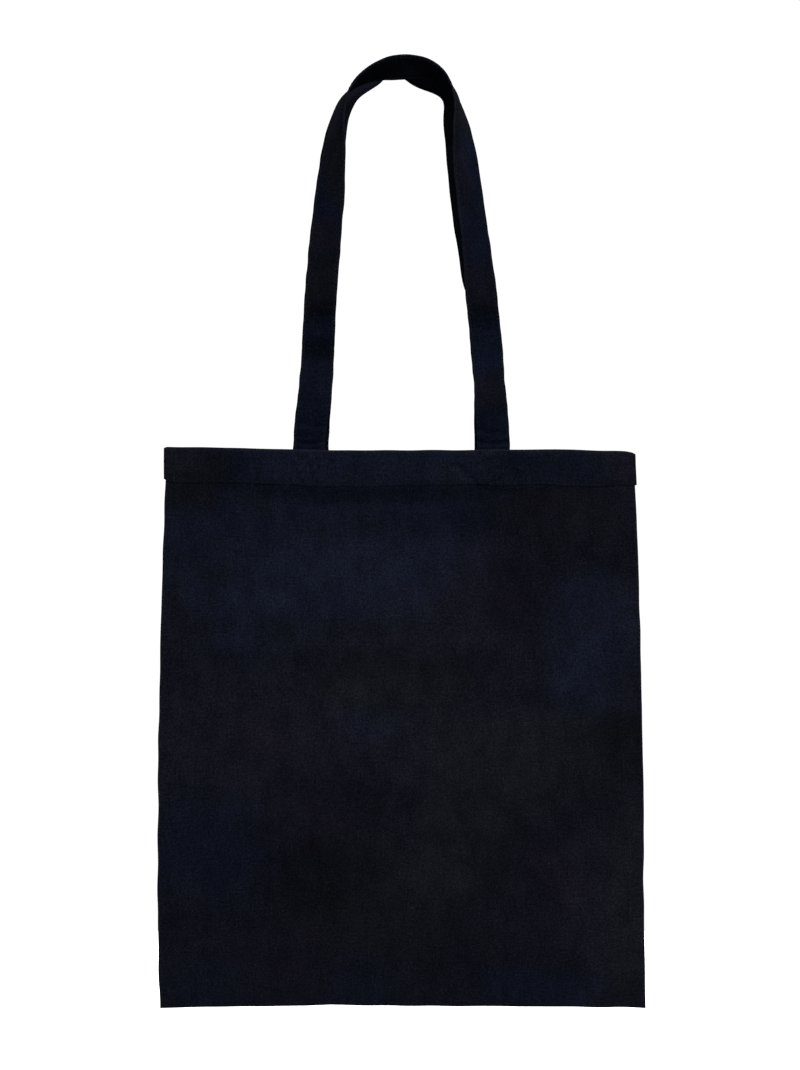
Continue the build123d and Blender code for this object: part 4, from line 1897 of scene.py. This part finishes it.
    def build(self, wardrobe: Wardrobe) -> bpy.types.Object:
        """Make the strap as one piece from tucked end to tucked end.

        Args:
            wardrobe: The finishes.

        Returns:
            The strap.
        """
        count = int(self.cut_length / self.step)
        travelled = np.linspace(-self.tuck, self.spine.length + self.tuck, count)
        centre, _, across_way, rear_way = self.frames(travelled)
        across, height, rim = self._section()
        s, w = np.meshgrid(travelled, across, indexing="ij")
        lift = height[None, :] + self._lie(s, w)
        frayed = 1 + self.fraying * self.uneven.at(s * 1.7, s * 0)
        points = centre[:, None, :] + across_way[:, None, :] * (w * frayed)[..., None]
        points = points + rear_way[:, None, :] * lift[..., None]
        faces = [face[::-1] for face in tube_faces(*s.shape)]
        girth = np.concatenate([[0.0], np.cumsum(np.abs(np.diff(across)))])
        cloth = np.stack(np.broadcast_arrays(girth[None, :], s), axis=-1)
        name = self.side.label
        piece = make_mesh(f"{name}_strap_canvas", points, faces, cloth, np.broadcast_to(rim, s.shape))
        self._hinged(dress(piece, wardrobe.strap))
        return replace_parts(piece, f"{name}_strap", f"{name}_left_strap_end", f"{name}_right_strap_end")

    def sewn_lines(self, wardrobe: Wardrobe) -> bpy.types.Object:
        """Stitches along both edges of the strap, on both faces.

        Args:
            wardrobe: The finishes.

        Returns:
            The stitches.
        """
        first, last = -self.tuck + self.thread_end, self.spine.length + self.tuck - self.thread_end
        travelled = np.arange(first, last, self.pitch)
        centre, along, across_way, rear_way = self.frames(travelled)
        rows = []
        for edge in (-1.0, 1.0):
            for face in (-1.0, 1.0):
                w = np.full(len(travelled), edge * (self.width / 2 - self.sewn_inset))
                lift = face * (self.thickness / 2 - self.thread_sunk) + self._lie(travelled, w)
                at = centre + across_way * w[:, None] + rear_way * lift[:, None]
                rows.append(StitchRow(at, along, rear_way * face))
        name = f"{self.side.label}_strap"
        piece = wardrobe.sew(f"{name}_thread", StitchRow.chained(rows), 40 + self.side.value)
        self._hinged(piece)
        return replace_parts(piece, f"{name}_stitching")

    def _hinged(self, piece: bpy.types.Object) -> None:
        """Bake the piece's placement into its points.

        Args:
            piece: The strap or its stitches.
        """
        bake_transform(piece)


CREASES = {
    Side.FRONT: (
        Crease(4.4 * MM, 1.2 * MM, 1.70 * MM, 0.02, 2.2 * MM),
        Crease(10.5 * MM, 1.6 * MM, 0.80 * MM, 0.12, 0.8 * MM),
        Crease(19 * MM, 3.0 * MM, 0.50 * MM, -0.10),
        Crease(37 * MM, 3.0 * MM, 0.35 * MM, 0.12),
        Crease(80 * MM, 2.6 * MM, 0.50 * MM, 0.08),
        Crease(105 * MM, 2.2 * MM, 0.55 * MM, -0.06),
        Crease(550 * MM, 4.0 * MM, 0.50 * MM, -0.12),
        Crease(630 * MM, 3.5 * MM, 0.35 * MM, 0.14),
        Crease(643 * MM, 1.7 * MM, 1.10 * MM, -0.10, -0.8 * MM),
        Crease(651 * MM, 1.2 * MM, 1.60 * MM, -0.04, -1.2 * MM),
    ),
    Side.REAR: (
        Crease(5 * MM, 1.5 * MM, 0.70 * MM, -0.05, 1.5 * MM),
        Crease(44 * MM, 3.4 * MM, 0.40 * MM, 0.10),
        Crease(132 * MM, 4.5 * MM, 0.35 * MM, -0.08),
        Crease(590 * MM, 3.0 * MM, 0.42 * MM, 0.07),
        Crease(642 * MM, 1.5 * MM, 0.70 * MM, 0.05, -1.5 * MM),
    ),
}


# ---------------------------------------------------------------- studio


@dataclass
class SoftBox:
    """A large soft lamp."""

    name: str
    at: Point
    aim: Point
    size: float
    power: float
    tint: Colour = (1.0, 1.0, 1.0)

    def switch_on(self) -> None:
        """Place the lamp and point it."""
        lamp = bpy.data.lights.new(self.name, "AREA")
        lamp.shape = "SQUARE"
        lamp.size = self.size
        lamp.energy = self.power
        lamp.color = self.tint
        holder = bpy.data.objects.new(self.name, lamp)
        holder.location = self.at
        way = Vector(self.aim) - Vector(self.at)
        holder.rotation_euler = way.to_track_quat("-Z", "Y").to_euler()
        bpy.context.scene.collection.objects.link(holder)


@dataclass
class Studio:
    """Pale floor, white surroundings, soft lamps and the camera."""

    form: BagForm
    distance: float = 6.0
    frame_height: float = 0.8346
    frame_centre: Span = (-0.6 * MM, 366.6 * MM)
    sensor: float = 36.0
    nearest: float = 0.05
    seen_strength: float = 1.05
    lit_strength: float = 0.16
    floor_gap: float = 30 * MM
    floor_size: float = 3.4

    def set_up(self) -> None:
        """Make everything round the bag."""
        self._camera()
        self._surroundings()
        self._floor()
        middle = (0.0, 0.0, self.form.foot / 2)
        high = (0.0, 0.0, -0.2)
        for lamp in (
            SoftBox("key_lamp", (0.1, -2.3, 1.5), middle, 1.2, 80.0, (1.0, 0.99, 0.97)),
            SoftBox("fill_lamp", (1.4, -2.0, 0.9), middle, 1.4, 20.0, (0.95, 0.97, 1.0)),
            SoftBox("left_lamp", (-1.7, 0.0, 0.9), high, 1.0, 7.0),
            SoftBox("right_lamp", (1.7, 0.0, 0.9), high, 1.0, 16.0),
            SoftBox("top_lamp", (0.0, -0.1, 1.7), high, 1.4, 40.0),
            SoftBox("back_lamp", (0.3, 2.1, 0.9), middle, 1.4, 42.0),
        ):
            lamp.switch_on()

    def _camera(self) -> None:
        """Long lens, level with the middle of the picture, straight in front."""
        lens = bpy.data.cameras.new("camera")
        lens.sensor_width = self.sensor
        lens.lens = self.sensor * self.distance / self.frame_height
        lens.clip_start = self.nearest
        camera = bpy.data.objects.new("camera", lens)
        x, up = self.frame_centre
        camera.location = (x, -self.distance, self.form.foot + up)
        camera.rotation_euler = (math.pi / 2, 0.0, 0.0)
        bpy.context.scene.collection.objects.link(camera)
        bpy.context.scene.camera = camera

    def _surroundings(self) -> None:
        """White to look at, softer as a light."""
        world = bpy.data.worlds.new("surroundings")
        world.use_nodes = True
        graph = Graph(world.node_tree)
        world.node_tree.nodes.clear()
        seen = graph.add("ShaderNodeBackground")
        graph.give(seen, {"Color": (1.0, 1.0, 1.0, 1.0), "Strength": self.seen_strength})
        lit = graph.add("ShaderNodeBackground")
        graph.give(lit, {"Color": (0.96, 0.98, 1.0, 1.0), "Strength": self.lit_strength})
        out = graph.add("ShaderNodeOutputWorld")
        graph.give(out, {"Surface": graph.seen_or_lit(seen.outputs[0], lit.outputs[0])})
        bpy.context.scene.world = world
        bpy.context.scene.view_settings.view_transform = "Standard"

    def _floor(self) -> None:
        """Plain pale floor, a little below the bag."""
        half = self.floor_size / 2
        z = self.form.foot - self.floor_gap
        points = np.array([(-half, -half, z), (half, -half, z), (half, half, z), (-half, half, z)])
        floor = make_mesh("floor", points, [(0, 1, 2, 3)], points[:, :2])
        material, graph, shader = new_material("pale_floor")
        graph.give(shader, {
            "Base Color": (0.9, 0.9, 0.9, 1.0),
            "Roughness": 0.9,
            "Emission Color": (1.0, 1.0, 1.0, 1.0),
            "Emission Strength": 0.75,
        })
        dull = graph.add("ShaderNodeBsdfDiffuse")
        graph.give(dull, {"Color": (0.2, 0.2, 0.2, 1.0)})
        surface = graph.seen_or_lit(shader.outputs[0], dull.outputs[0])
        graph.give(material.node_tree.nodes["Material Output"], {"Surface": surface})
        floor.data.materials.append(material)


# ---------------------------------------------------------------- assembly


@dataclass
class Cloths:
    """The pieces of canvas of one side of the bag."""

    panel: bpy.types.Object
    hem: bpy.types.Object
    strap: bpy.types.Object
    handle: Handle

    def declare(self, form: BagForm) -> None:
        """Do nothing: the cut sizes of the pieces are not given.

        Args:
            form: The bag's form. Not used.
        """


def report(pieces: Sequence[bpy.types.Object]) -> None:
    """Log each new piece with its number of faces."""
    for piece in pieces:
        LOG.info("%s: %d faces", piece.name, len(piece.data.polygons))


def main() -> None:
    """Build the studio, then the bag from its panels outwards."""
    logging.basicConfig(level=logging.INFO, format="%(message)s")
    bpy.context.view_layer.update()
    form = BagForm.from_frame()
    Studio(form).set_up()
    wardrobe = Wardrobe.stocked()
    cloths = []
    for side in Side:
        hem = Hem(form, side)
        handle = Handle(form, side, LINES[side], CREASES[side])
        panel, band = Panel(form, side).build(wardrobe), hem.build(wardrobe)
        cloths.append(Cloths(panel, band, handle.build(wardrobe), handle))
        sewn = [hem.sewn_row(wardrobe), hem.end_tacks(wardrobe)]
        sewn += [hem.cross_box(hand, x, wardrobe) for hand, x in zip(Hand, form.strap_bases[side])]
        sewn.append(handle.sewn_lines(wardrobe))
        report([panel, band, cloths[-1].strap, *sewn])
    for hand in Hand:
        report(side_seam(form, hand, wardrobe))
    report(bottom_seam(form, wardrobe))
    for cloth in cloths:
        cloth.declare(form)


if __name__ == "__main__":
    main()
